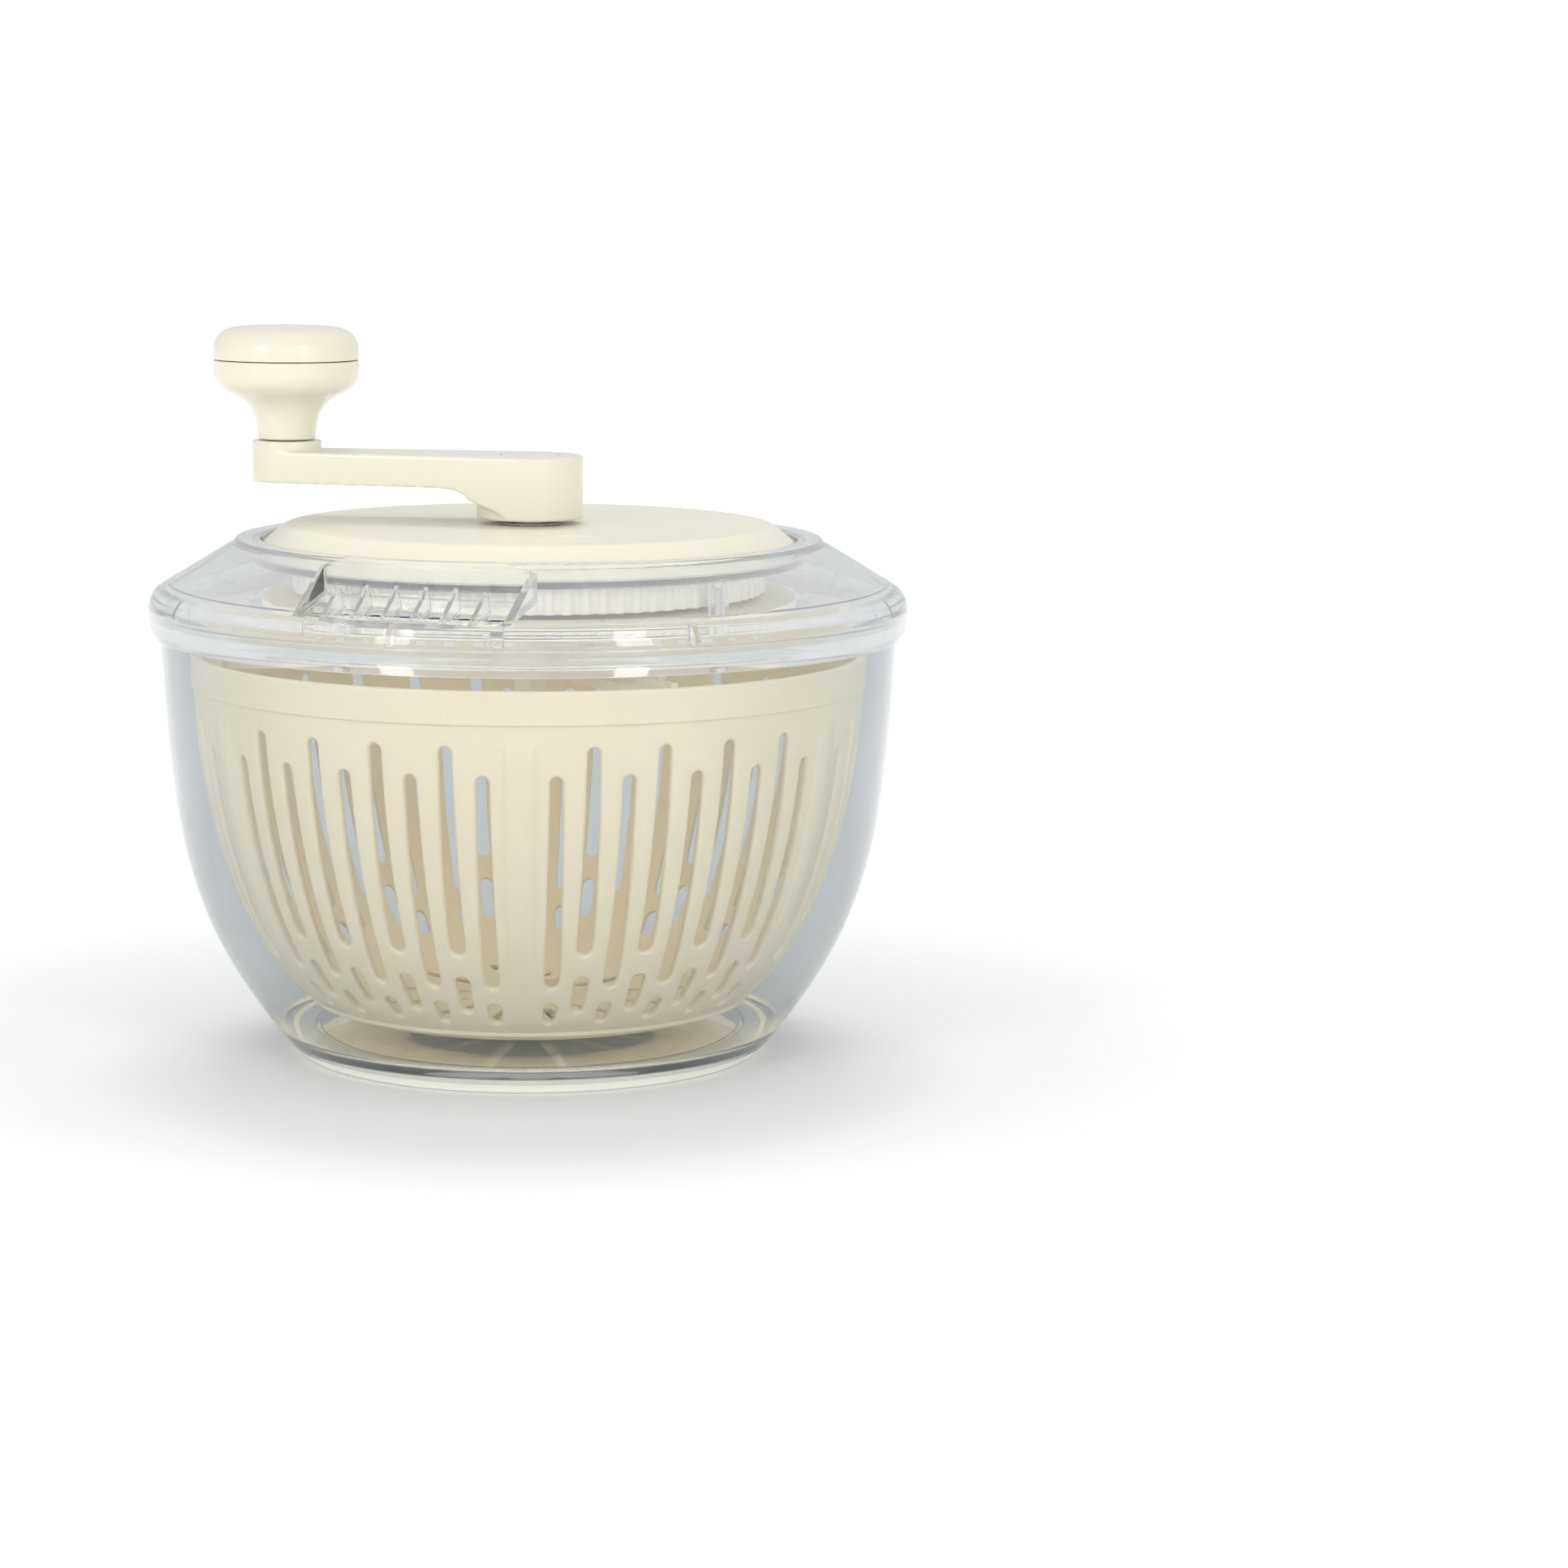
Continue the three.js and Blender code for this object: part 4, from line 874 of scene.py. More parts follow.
# ---- Sub-assemblies ----
@dataclass
class Bowl:
    """The clear outer bowl with its pivot pin, and the rubber ring under its foot."""

    rim_radius: float = field(default_factory=lambda: reach("outer_bowl"))
    rim_z: float = field(default_factory=lambda: top("outer_bowl"))
    wall: float = 2.0 * MM
    foot_radius: float = 80.0 * MM
    foot_z: float = 3.4 * MM
    groove_z: float = 6.4 * MM
    floor_z: float = 8.8 * MM
    boss_radius: float = 7.0 * MM
    boss_z: float = 11.4 * MM
    pin_radius: float = 2.6 * MM
    pin_z: float = 20.4 * MM
    ring_inner: float = 72.0 * MM
    ring_outer: float = field(default_factory=lambda: reach("foot_ring"))
    ring_top: float = field(default_factory=lambda: top("foot_ring"))
    low_handle: tuple[float, float] = (0.85, 0.3)
    high_handle: tuple[float, float] = (0.92, 0.5)
    side_steps: int = 44

    def side(self) -> Array:
        """The outside of the bowl's side, from the foot up."""
        foot_end, rim = np.array([self.foot_radius, self.foot_z]), np.array([self.rim_radius, self.rim_z])
        low, high = (foot_end + (rim - foot_end) * handle for handle in (self.low_handle, self.high_handle))
        return bezier(foot_end, low, high, rim, self.side_steps)

    def profile(self) -> Array:
        """The bowl's section, from the tip of its pin round to the middle of its underside."""
        side = self.side()
        inner = moved_in(side, self.wall)
        corner_r = float(np.interp(self.floor_z, inner[:, 1], inner[:, 0]))
        inner = inner[inner[:, 1] > self.floor_z + 5 * MM]
        gap = 0.3 * MM
        inside = [(0, self.pin_z), (self.pin_radius - 1.2 * MM, self.pin_z, 0.4 * MM),
                  (self.pin_radius, self.pin_z - 1.4 * MM, 0.4 * MM),
                  (self.pin_radius, self.boss_z, 0.8 * MM), (self.boss_radius, self.boss_z, 0.6 * MM),
                  (self.boss_radius, self.floor_z, 1.0 * MM), (corner_r, self.floor_z, 4 * MM)]
        rim = [(inner[-1][0], self.rim_z, 0.7 * MM), (self.rim_radius, self.rim_z, 0.7 * MM)]
        groove = [(self.ring_outer + gap, self.foot_z, gap), (self.ring_outer + gap, self.groove_z, gap),
                  (self.ring_inner - gap, self.groove_z, gap), (self.ring_inner - gap, self.foot_z, gap),
                  (self.ring_inner - 2 * MM, self.foot_z, gap),
                  (self.ring_inner - 2 * MM, self.groove_z, gap)]
        outer = [tuple(p) for p in side[::-1]][1:-1]
        edge = [(self.foot_radius, self.foot_z, 0.6 * MM)]
        return softened([*inside, *map(tuple, inner[:-1]), *rim, *outer, *edge, *groove, (0, self.groove_z)])

    def build(self) -> dict[str, Piece]:
        """Makes the bowl and its foot ring."""
        ring = softened([(self.ring_inner, 0, 1.2 * MM), (self.ring_outer, 0, 1.2 * MM),
                         (self.ring_outer, self.ring_top, 0.4 * MM),
                         (self.ring_inner, self.ring_top, 0.4 * MM)], closed=True)
        return {"bowl": Skin().lathe(self.profile(), Sides.LARGE).piece("bowl_clear"),
                "ring": Skin().lathe(ring, Sides.LARGE, closed=True).piece("bowl_foot_rubber")}

    def dress(self, pieces: Mapping[str, Piece]) -> None:
        """Finishes the bowl and its foot ring."""
        dressed(pieces["bowl"], Finishes.bowl, Body.BOWL, "outer_bowl")
        dressed(pieces["ring"], Finishes.rubber, Body.BOWL, "foot_ring")


@dataclass(frozen=True)
class Opening:
    """Part of a slot column: where it starts and ends as shares of the side's height, and its end widths."""

    low: float
    high: float
    low_width: float
    high_width: float


@dataclass
class Basket:
    """The slotted basket that spins, and the bearing in its floor."""

    bottom_radius: float = 58.0 * MM
    bottom_z: float = field(default_factory=lambda: foot("basket"))
    rim_radius: float = 111.2 * MM
    rim_z: float = field(default_factory=lambda: top("basket"))
    band_height: float = 10.7 * MM
    band_step: float = 0.8 * MM
    wall: float = 2.2 * MM
    rim_inner: float = 108.2 * MM
    hub_radius: float = 10.6 * MM
    hub_bore: float = 6.6 * MM
    hub_z: float = 24.0 * MM
    hub_fillet: float = 2.0 * MM
    bays: int = 6
    lugs: int = 3
    places: int = 10
    phase: float = -1.7
    tall: tuple[Opening, ...] = (Opening(0.31, 0.935, 5.4 * MM, 4.0 * MM),
                                 Opening(0.121, 0.233, 4.4 * MM, 4.7 * MM))
    short: tuple[Opening, ...] = (Opening(0.203, 0.851, 5.2 * MM, 4.0 * MM),
                                  Opening(0.082, 0.146, 4.3 * MM, 4.3 * MM))
    columns: int = 34
    row_step: float = 3.6 * MM
    slot_edge: float = 1.15 * MM
    panel_half: float = 4.75 * MM
    panel_step: float = 0.7 * MM
    panel_fade: float = 0.7 * MM
    panel_foot_slope: float = 0.1
    panel_low: float = 0.3
    panel_high: float = 0.94
    panel_clear: float = 7.2 * MM
    rib_half: float = 1.2 * MM
    carrier_z: float = field(default_factory=lambda: foot("drive_carrier"))
    lug_half: float = 6.0 * MM
    lug_gap: float = 0.8 * MM
    rib_depth: float = 7.8 * MM
    lip_radius: float = 72.0 * MM
    lip_half: float = 1.1 * MM
    lip_drop: float = 0.7 * MM

    def __post_init__(self) -> None:
        """Samples the side curve and its length, normals and heights."""
        band_z = self.rim_z - self.band_height
        rim = (self.rim_radius - self.band_step, band_z)
        rise, flare = band_z - self.bottom_z, rim[0] - self.bottom_radius
        low = (self.bottom_radius + 0.607 * flare, self.bottom_z + 0.4 * MM)
        high = (self.bottom_radius + 0.977 * flare, self.bottom_z + 0.565 * rise)
        self.curve = bezier((self.bottom_radius, self.bottom_z), low, high, rim, 240)
        along = np.gradient(self.curve, axis=0)
        steps = np.linalg.norm(np.diff(self.curve, axis=0), axis=1)
        self.lengths = np.concatenate([[0], np.cumsum(steps)])
        self.normals = np.stack([-along[:, 1], along[:, 0]], axis=1)
        self.normals /= np.linalg.norm(self.normals, axis=1)[:, None]
        self.normals[0], self.normals[-1] = (0, 1), (-1, 0)
        self.pitch = 2 * math.pi / (self.bays * self.places)

    def at_share(self, share: float) -> float:
        """Length along the side curve at a share of the side's height."""
        z = self.bottom_z + share * (self.curve[-1, 1] - self.bottom_z)
        return float(np.interp(z, self.curve[:, 1], self.lengths))

    def radius_at(self, length: Array | float) -> Array:
        """Radius of the side at a length along its curve."""
        return np.interp(length, self.lengths, self.curve[:, 0])

    def place_wall(self, points: Array, depth: float) -> Array:
        """Puts [angle times rim radius, length] points on the basket's wall.

        Args:
            points: Points of the flat pattern.
            depth: How far they lie inside the outer face.

        Returns:
            The points in space, for the bay at the front.
        """
        angle = points[:, 0] / self.rim_radius
        section = [np.interp(points[:, 1], self.lengths, values[:, k])
                   for values in (self.curve, self.normals) for k in (0, 1)]
        radius, z, across, up = section
        shift = depth - (self.panel_lift(angle, points[:, 1]) if depth == 0 else 0.0)
        radius, z = radius + across * shift, z + up * shift
        turn = math.radians(self.phase) + angle
        return np.stack([radius * np.sin(turn), -radius * np.cos(turn), z], axis=1)

    def panel_lift(self, angle: Array, length: Array) -> Array:
        """How far the blank panel stands out at places on the wall."""
        across = np.abs(angle) * self.rim_radius
        low, high = self.at_share(self.panel_low), self.at_share(self.panel_high)
        rise = self.panel_foot_slope * (length - low)
        inside = np.minimum(self.panel_half - across, np.minimum(rise, high - length))
        share = np.clip((inside + self.panel_fade) / (2 * self.panel_fade), 0, 1)
        return self.panel_step * share * share * (3 - 2 * share)

    def wall_slots(self) -> list[SheetSlot]:
        """The slots of one bay: short and tall by turns, each with a foot below it."""
        slots = []
        for place in range(1, self.places):
            for part in self.tall if place % 2 == 0 else self.short:
                ends = (self.at_share(part.low) + part.low_width / 2,
                        self.at_share(part.high) - part.high_width / 2)
                spread = [self.rim_radius / float(self.radius_at(end)) for end in ends]
                across = place * self.pitch * self.rim_radius
                slots.append(SheetSlot((across, ends[0]), (across, ends[1]),
                                       part.low_width / 2 * spread[0] ** 0.5,
                                       part.high_width / 2 * spread[1]))
        return slots

    def wall_sheet(self) -> SlottedSheet:
        """The wall of one bay as a slotted sheet."""
        start = -0.5 * self.pitch * self.rim_radius
        width = self.places * self.pitch * self.rim_radius
        length = float(self.lengths[-1])
        x = start + np.linspace(0, width, self.columns + 1)
        y = np.linspace(0, length, round(length / self.row_step) + 1)
        edge = np.concatenate([
            np.column_stack([x, np.zeros_like(x)]), np.column_stack([np.full(len(y) - 1, x[-1]), y[1:]]),
            np.column_stack([x[::-1][1:], np.full(len(x) - 1, length)]),
            np.column_stack([np.full(len(y) - 2, x[0]), y[::-1][1:-1]])])
        inner = np.array([(a, b) for a in x[1:-1] for b in y[1:-1]])
        fades = [side * (self.panel_half + k * self.panel_fade) for side in (-1, 1) for k in (-1, 0, 1)]
        rows = np.arange(self.at_share(self.panel_low - 0.08), self.at_share(self.panel_high + 0.03), 2 * MM)
        strips = np.array([(a, b) for a in fades for b in rows])
        ends = [self.at_share(s) + k * self.panel_fade for s in (self.panel_low, self.panel_high)
                for k in (-1, 0, 1)]
        across = np.linspace(-self.panel_half, self.panel_half, 9)
        lines = np.array([(a, b) for b in ends for a in across])
        inner = inner[np.abs(inner[:, 0]) > self.panel_clear]
        grid = np.concatenate([inner, strips, lines])
        return SlottedSheet(self.place_wall, [edge], grid, self.wall_slots(), self.wall, self.slot_edge,
                            0.5 * MM, lambda points: np.zeros(len(points), bool))

    def floor_sheet(self) -> SlottedSheet:
        """The floor with its drain slots, flat."""
        count = self.bays * self.columns
        start = self.hub_radius + self.hub_fillet
        turn = math.radians(self.phase) - 0.5 * self.pitch - math.pi / 2
        edges = [circle(self.bottom_radius, count, turn=turn), circle(start, count // 2, turn=turn)]
        rings = [circle(r, 80, turn=0.02 * i) for i, r in
                 enumerate(np.arange(start + 3 * MM, self.bottom_radius - 1 * MM, 4 * MM))]
        slots = []
        for i in range(2 * self.bays):
            angle = math.radians(self.phase + 180 / self.bays * (i + 0.5))
            out = np.array([math.sin(angle), -math.cos(angle)])
            near, far = 2 * self.hub_radius + 2 * MM, self.bottom_radius - 6 * MM
            slots.append(SheetSlot(tuple(out * near), tuple(out * far), 2 * MM, 2 * MM))
        return SlottedSheet(
            lambda points, depth: lifted(points, self.bottom_z + depth), edges, np.concatenate(rings),
            slots, self.wall, 0.8 * MM, 0.5 * MM,
            lambda points: np.linalg.norm(points, axis=1) < start)

    def band_profile(self) -> Array:
        """The rim band, from the wall's outer face over the top to its inner face."""
        edge_z = self.curve[-1, 1]
        inner = self.curve[-1, 0] - self.wall
        return softened([
            tuple(self.curve[-1]), (self.rim_radius - 0.05 * MM, edge_z, 0.35 * MM),
            (self.rim_radius, edge_z + 0.8 * MM, 0.5 * MM), (self.rim_radius, self.rim_z, 0.9 * MM),
            (self.rim_inner, self.rim_z, 0.9 * MM), (self.rim_inner, edge_z + 1.5 * MM, 0.5 * MM),
            (inner, edge_z)])

    def hub_profile(self) -> Array:
        """The hub, from the floor's upper face over the hub to the floor's lower face."""
        floor = self.bottom_z + self.wall
        start = self.hub_radius + self.hub_fillet
        return softened([
            (start, floor), (self.hub_radius, floor, self.hub_fillet * 0.9),
            (self.hub_radius, self.hub_z, 0.7 * MM), (self.hub_bore, self.hub_z, 0.5 * MM),
            (self.hub_bore, self.bottom_z, 0.5 * MM), (start, self.bottom_z)])

    def build_basket(self) -> Piece:
        """Makes the basket: bays of wall, floor, rim band, hub, lip and ribs."""
        skin = Skin()
        bay = Skin()
        self.wall_sheet().add_to(bay)
        points = np.concatenate(bay.points)
        for i in range(self.bays):
            turn = np.array(about_z(360 / self.bays * i).to_3x3())
            skin.triangles(points @ turn.T, bay.faces)
        self.floor_sheet().add_to(skin)
        count = self.bays * self.columns
        turn = math.radians(self.phase) - 0.5 * self.pitch - math.pi / 2
        skin.lathe(self.band_profile(), count, turn=turn)
        skin.lathe(self.hub_profile(), count // 2, turn=turn)
        skin.lathe(self.lip_profile(), count, closed=True, turn=turn)
        near, far = self.rim_inner - self.rib_depth, self.rim_inner + 1 * MM
        for i in range(self.lugs):
            azimuth = self.phase + 180 / self.bays + 360 / self.lugs * i
            for side in (-1, 1):
                middle = side * (self.lug_half + self.lug_gap + self.rib_half)
                skin.slab(*block((middle - self.rib_half, middle + self.rib_half), (-far, -near),
                                 (self.carrier_z, self.rim_z - 0.8 * MM), azimuth, 0.5 * MM))
        return skin.piece("basket_slotted")

    def lip_profile(self) -> Array:
        """A small bead round the lower edge of the basket."""
        length = self.lengths[np.searchsorted(self.curve[:, 0], self.lip_radius)]
        radius, z = (float(np.interp(length, self.lengths, self.curve[:, k])) for k in (0, 1))
        wide, deep = self.lip_half, self.lip_drop
        return softened([(radius - wide, z + deep, 0.2 * MM), (radius - wide, z - deep, 0.5 * MM),
                         (radius + wide, z - deep, 0.5 * MM), (radius + wide, z + deep, 0.2 * MM)],
                        closed=True)

    def build_bearing(self) -> Piece:
        """Makes the bearing that turns on the bowl's pin."""
        low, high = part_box("pivot_bearing")
        bore, body, flange, lip = 2.9 * MM, 6.2 * MM, high.x, 7.2 * MM
        lip_z, soft = self.hub_z + 0.3 * MM, 0.3 * MM
        return Skin().lathe(softened([
            (0, low.z + 9.3 * MM), (bore, low.z + 9.3 * MM, soft), (bore, low.z, soft), (flange, low.z, soft),
            (flange, self.bottom_z - 0.4 * MM, soft), (body, self.bottom_z - 0.4 * MM, soft),
            (body, lip_z, soft), (lip, lip_z, soft), (body, high.z, soft), (0, high.z)]),
            Sides.SMALL).piece("basket_pivot_bearing")

    def build(self) -> dict[str, Piece]:
        """Makes the basket and its bearing."""
        return {"basket": self.build_basket(), "bearing": self.build_bearing()}

    def dress(self, pieces: Mapping[str, Piece]) -> None:
        """Finishes the basket and its bearing."""
        dressed(pieces["basket"], Finishes.basket, Body.BASKET, "basket")
        dressed(pieces["bearing"], Finishes.nylon, Body.BEARING, "pivot_bearing")


@dataclass
class Lid:
    """The clear lid shell with its recess, locating wall, tabs, bosses and pouring spout."""

    radius: float = field(default_factory=lambda: reach("lid_shell"))
    skirt_z: float = field(default_factory=lambda: foot("lid_shell"))
    ridge_z: float = field(default_factory=lambda: top("lid_shell"))
    bowl_rim_z: float = field(default_factory=lambda: top("outer_bowl"))
    wall: float = 2.2 * MM
    skirt_inner: float = 122.0 * MM
    shoulder_radius: float = 120.0 * MM
    shoulder_z: float = 155.4 * MM
    recess_radius: float = 88.19 * MM
    recess_floor_z: float = 163.2 * MM
    recess_floor: float = 2.0 * MM
    ridge_radius: float = 95.99 * MM
    bush_hole: float = 9.9 * MM
    locating_radius: float = 117.5 * MM
    locating_wall: float = 1.8 * MM
    locating_z: float = 141.7 * MM
    tabs: int = 8
    tab_width: float = 1.8 * MM
    tab_phase: float = -20.5
    screws: int = 4
    screw_orbit: float = 83.99 * MM
    spout_azimuth: float = -20.2
    spout_width: float = 68.0 * MM
    spout_wall: float = 1.6 * MM
    spout_drop: float = 13.2 * MM
    spout_lip: float = 1.6 * MM
    fins: int = 6
    fin_thickness: float = 1.4 * MM
    boss_bore: float = 1.5 * MM
    boss_radius: float = 3.2 * MM
    boss_low: float = 149.8 * MM
    boss_high: float = 162.2 * MM
    tab_height: float = 5.1 * MM
    tab_gap: float = 0.3 * MM

    def __post_init__(self) -> None:
        """Works out the cone and the spout's ends."""
        self.ridge_edge = (self.ridge_radius + 1.4 * MM, self.ridge_z - 1.6 * MM)
        self.spout_back = self.recess_radius + self.wall + self.spout_wall
        self.spout_front = self.shoulder_radius - 0.6 * MM

    def cone_z(self, radius: float) -> float:
        """Height of the cone's outside at a radius."""
        slope = (self.ridge_edge[1] - self.shoulder_z) / (self.shoulder_radius - self.ridge_edge[0])
        return self.shoulder_z + (self.shoulder_radius - radius) * slope

    def outside(self) -> list[tuple[float, ...]]:
        """The outside from the skirt's lower edge up to the ridge, with corner radii."""
        r, z, rim = self.radius, self.skirt_z, self.bowl_rim_z
        return [(self.skirt_inner + 1.1 * MM, z, 0.6 * MM), (r - 0.5 * MM, z + 3 * MM, 4 * MM),
                (r, z + 6.6 * MM, 6 * MM), (r, rim + 1.4 * MM, 4 * MM),
                (r - 0.6 * MM, rim + 4 * MM, 4 * MM), (r - 2.2 * MM, rim + 6.6 * MM, 4 * MM),
                (self.shoulder_radius, self.shoulder_z, 3 * MM), (*self.ridge_edge, 2 * MM),
                (self.ridge_radius, self.ridge_z, 1.2 * MM)]

    def profile(self) -> Array:
        """The section of the turned shell, closed."""
        floor = self.recess_floor_z - self.recess_floor
        wall_r = self.recess_radius + self.wall
        ridge = self.ridge_z - self.wall
        inner = self.shoulder_radius - 1 * MM
        soft = 0.5 * MM
        under = [(self.bush_hole, floor, soft), (wall_r, floor, soft), (wall_r, ridge, soft),
                 (self.ridge_radius - 0.6 * MM, ridge, soft),
                 (inner, self.cone_z(inner) - 1.2 * self.wall, 2 * MM),
                 (self.skirt_inner, self.bowl_rim_z + 3 * MM, 2 * MM),
                 (self.skirt_inner, self.skirt_z, 0.3 * MM)]
        recess = [(self.recess_radius, self.ridge_z, 0.8 * MM),
                  (self.recess_radius, self.recess_floor_z, soft),
                  (self.bush_hole, self.recess_floor_z, soft)]
        return softened([*under, *self.outside(), *recess], closed=True)

    def _section(self, share: float) -> float:
        """Distance from the axis at a share of the spout's depth."""
        return self.spout_back + share * (self.spout_front - self.spout_back)

    def _floor_z(self, distance: float) -> float:
        """Height of the spout's floor at a distance from the axis."""
        back = self.cone_z(self.spout_back) - self.spout_drop
        front = self.shoulder_z - self.spout_lip
        share = (distance - self.spout_back) / (self.spout_front - self.spout_back)
        return back + share * (front - back)

    def _upright(self, outline: Sequence[Sequence[float]], width: float, name: str, across: float = 0.0,
                 edge: float = 0.2 * MM, corner: float = 0.3 * MM) -> Piece:
        """Stands a [distance, z] outline up across the spout.

        Args:
            outline: Its corners, anticlockwise.
            width: How thick the plate is.
            name: Name of the piece.
            across: Where its middle is across the spout.
            edge: Radius of its edges.
            corner: Radius of its corners.

        Returns:
            The plate.
        """
        rounded = softened([(d, z, corner) for d, z in outline], closed=True, steps=3)
        low, high = across - width / 2, across + width / 2
        return Skin().slab(rounded, low, high, edge, standing(self.spout_azimuth)).piece(name)

    def spout_room(self) -> Piece:
        """The space that the spout opens."""
        over = self.ridge_z + 4 * MM
        back, front = self.spout_back, self.spout_front
        outline = [(back, self._floor_z(back)), (front, self._floor_z(front)), (front, over), (back, over)]
        return self._upright(outline, self.spout_width, "room", edge=1.0 * MM, corner=0.8 * MM)

    def spout_tray(self) -> Piece:
        """The block that the spout's walls and floor are left of."""
        back, front = self.spout_back - self.spout_wall, self.spout_front + 1 * MM
        low = [(back, self._floor_z(back) - self.spout_wall), (front, self._floor_z(front) - self.spout_wall)]
        outline = [*low, (front, self.ridge_z), (back, self.ridge_z)]
        return self._upright(outline, self.spout_width + 2 * self.spout_wall, "tray")

    def spout_fins(self) -> list[Piece]:
        """The blades across the spout, each with a free tip."""
        pitch = self.spout_width / (self.fins + 1)
        inner, tip, middle = self._section(0.4), self._section(0.475), self._section(0.66)
        front = self.spout_front
        outline = [(inner - 1 * MM, self._floor_z(inner) - 0.6 * MM),
                   (front, self._floor_z(front) - 0.6 * MM),
                   (front, self._floor_z(front) + 0.6 * MM), (middle, self.cone_z(middle) - 1.4 * MM),
                   (tip, self.cone_z(tip) - 0.1 * MM), (inner + 0.6 * MM, self.cone_z(tip) - 3.4 * MM)]
        return [self._upright(outline, self.fin_thickness, "fin", pitch * (i + 1) - self.spout_width / 2)
                for i in range(self.fins)]

    def spout_slots(self) -> list[Piece]:
        """The cutters of the slots between the blades."""
        pitch = self.spout_width / (self.fins + 1)
        near, far = self._section(0.5), self._section(0.74)
        half = pitch / 2 - self.fin_thickness
        slots = []
        for i in range(self.fins + 1):
            middle = pitch * (i + 0.5) - self.spout_width / 2
            settings = block((middle - half, middle + half), (-far, -near),
                             (self.bowl_rim_z, self.ridge_z), self.spout_azimuth, 0.2 * MM, 1.2 * MM)
            slots.append(Skin().slab(*settings).piece("slot"))
        return slots

    def rings(self) -> list[Piece]:
        """The locating wall, the tabs over the bowl's rim and the screw bosses."""
        inner, outer = self.locating_radius - self.locating_wall, self.locating_radius
        high = self.cone_z(outer) - self.wall
        wall = softened([(inner, self.locating_z, 0.6 * MM), (outer, self.locating_z, 0.6 * MM),
                         (outer, high), (inner, high)], closed=True)
        made = [Skin().lathe(wall, Sides.LARGE, closed=True).piece("locating")]
        near, far = outer - 0.8 * MM, self.skirt_inner + 0.8 * MM
        tab_z = self.bowl_rim_z + self.tab_gap
        for i in range(self.tabs):
            settings = block((-self.tab_width / 2, self.tab_width / 2), (-far, -near),
                             (tab_z, tab_z + self.tab_height),
                             self.tab_phase + 360 / self.tabs * i, 0.3 * MM)
            made.append(Skin().slab(*settings).piece("tab"))
        for i in range(self.screws):
            angle = math.radians(360 / self.screws * (i + 0.5))
            middle = self.screw_orbit * math.sin(angle), -self.screw_orbit * math.cos(angle)
            boss = [(self.boss_bore, self.boss_low), (self.boss_radius, self.boss_low),
                    (self.boss_radius, self.boss_high), (self.boss_bore, self.boss_high)]
            made.append(Skin().lathe(np.array(boss), Sides.SMALL, closed=True, centre=middle).piece("boss"))
        return made

    def build(self) -> dict[str, Piece]:
        """Makes the lid shell."""
        shell = Skin().lathe(self.profile(), Sides.LARGE, closed=True).piece("lid_clear")
        whole = softened([(0, self.skirt_z), *self.outside(), (0, self.ridge_z)])
        within = [Skin().lathe(whole, Sides.LARGE).piece("within") for _ in range(2)]
        combined(shell, self.rings(), Cut.JOIN)
        combined(shell, [self.spout_room()], Cut.REMOVE)
        tray = combined(combined(self.spout_tray(), [self.spout_room()], Cut.REMOVE), within[:1], Cut.KEEP)
        combined(shell, [tray], Cut.JOIN)
        combined(shell, self.spout_slots(), Cut.REMOVE)
        fins = self.spout_fins()
        blades = combined(combined(fins[0], fins[1:], Cut.JOIN), within[1:], Cut.KEEP)
        combined(shell, [blades], Cut.JOIN)
        smooth(shell, 32)
        return {"shell": shell}

    def dress(self, pieces: Mapping[str, Piece]) -> None:
        """Finishes the lid shell."""
        dressed(pieces["shell"], Finishes.lid, Body.LID, "lid_shell")


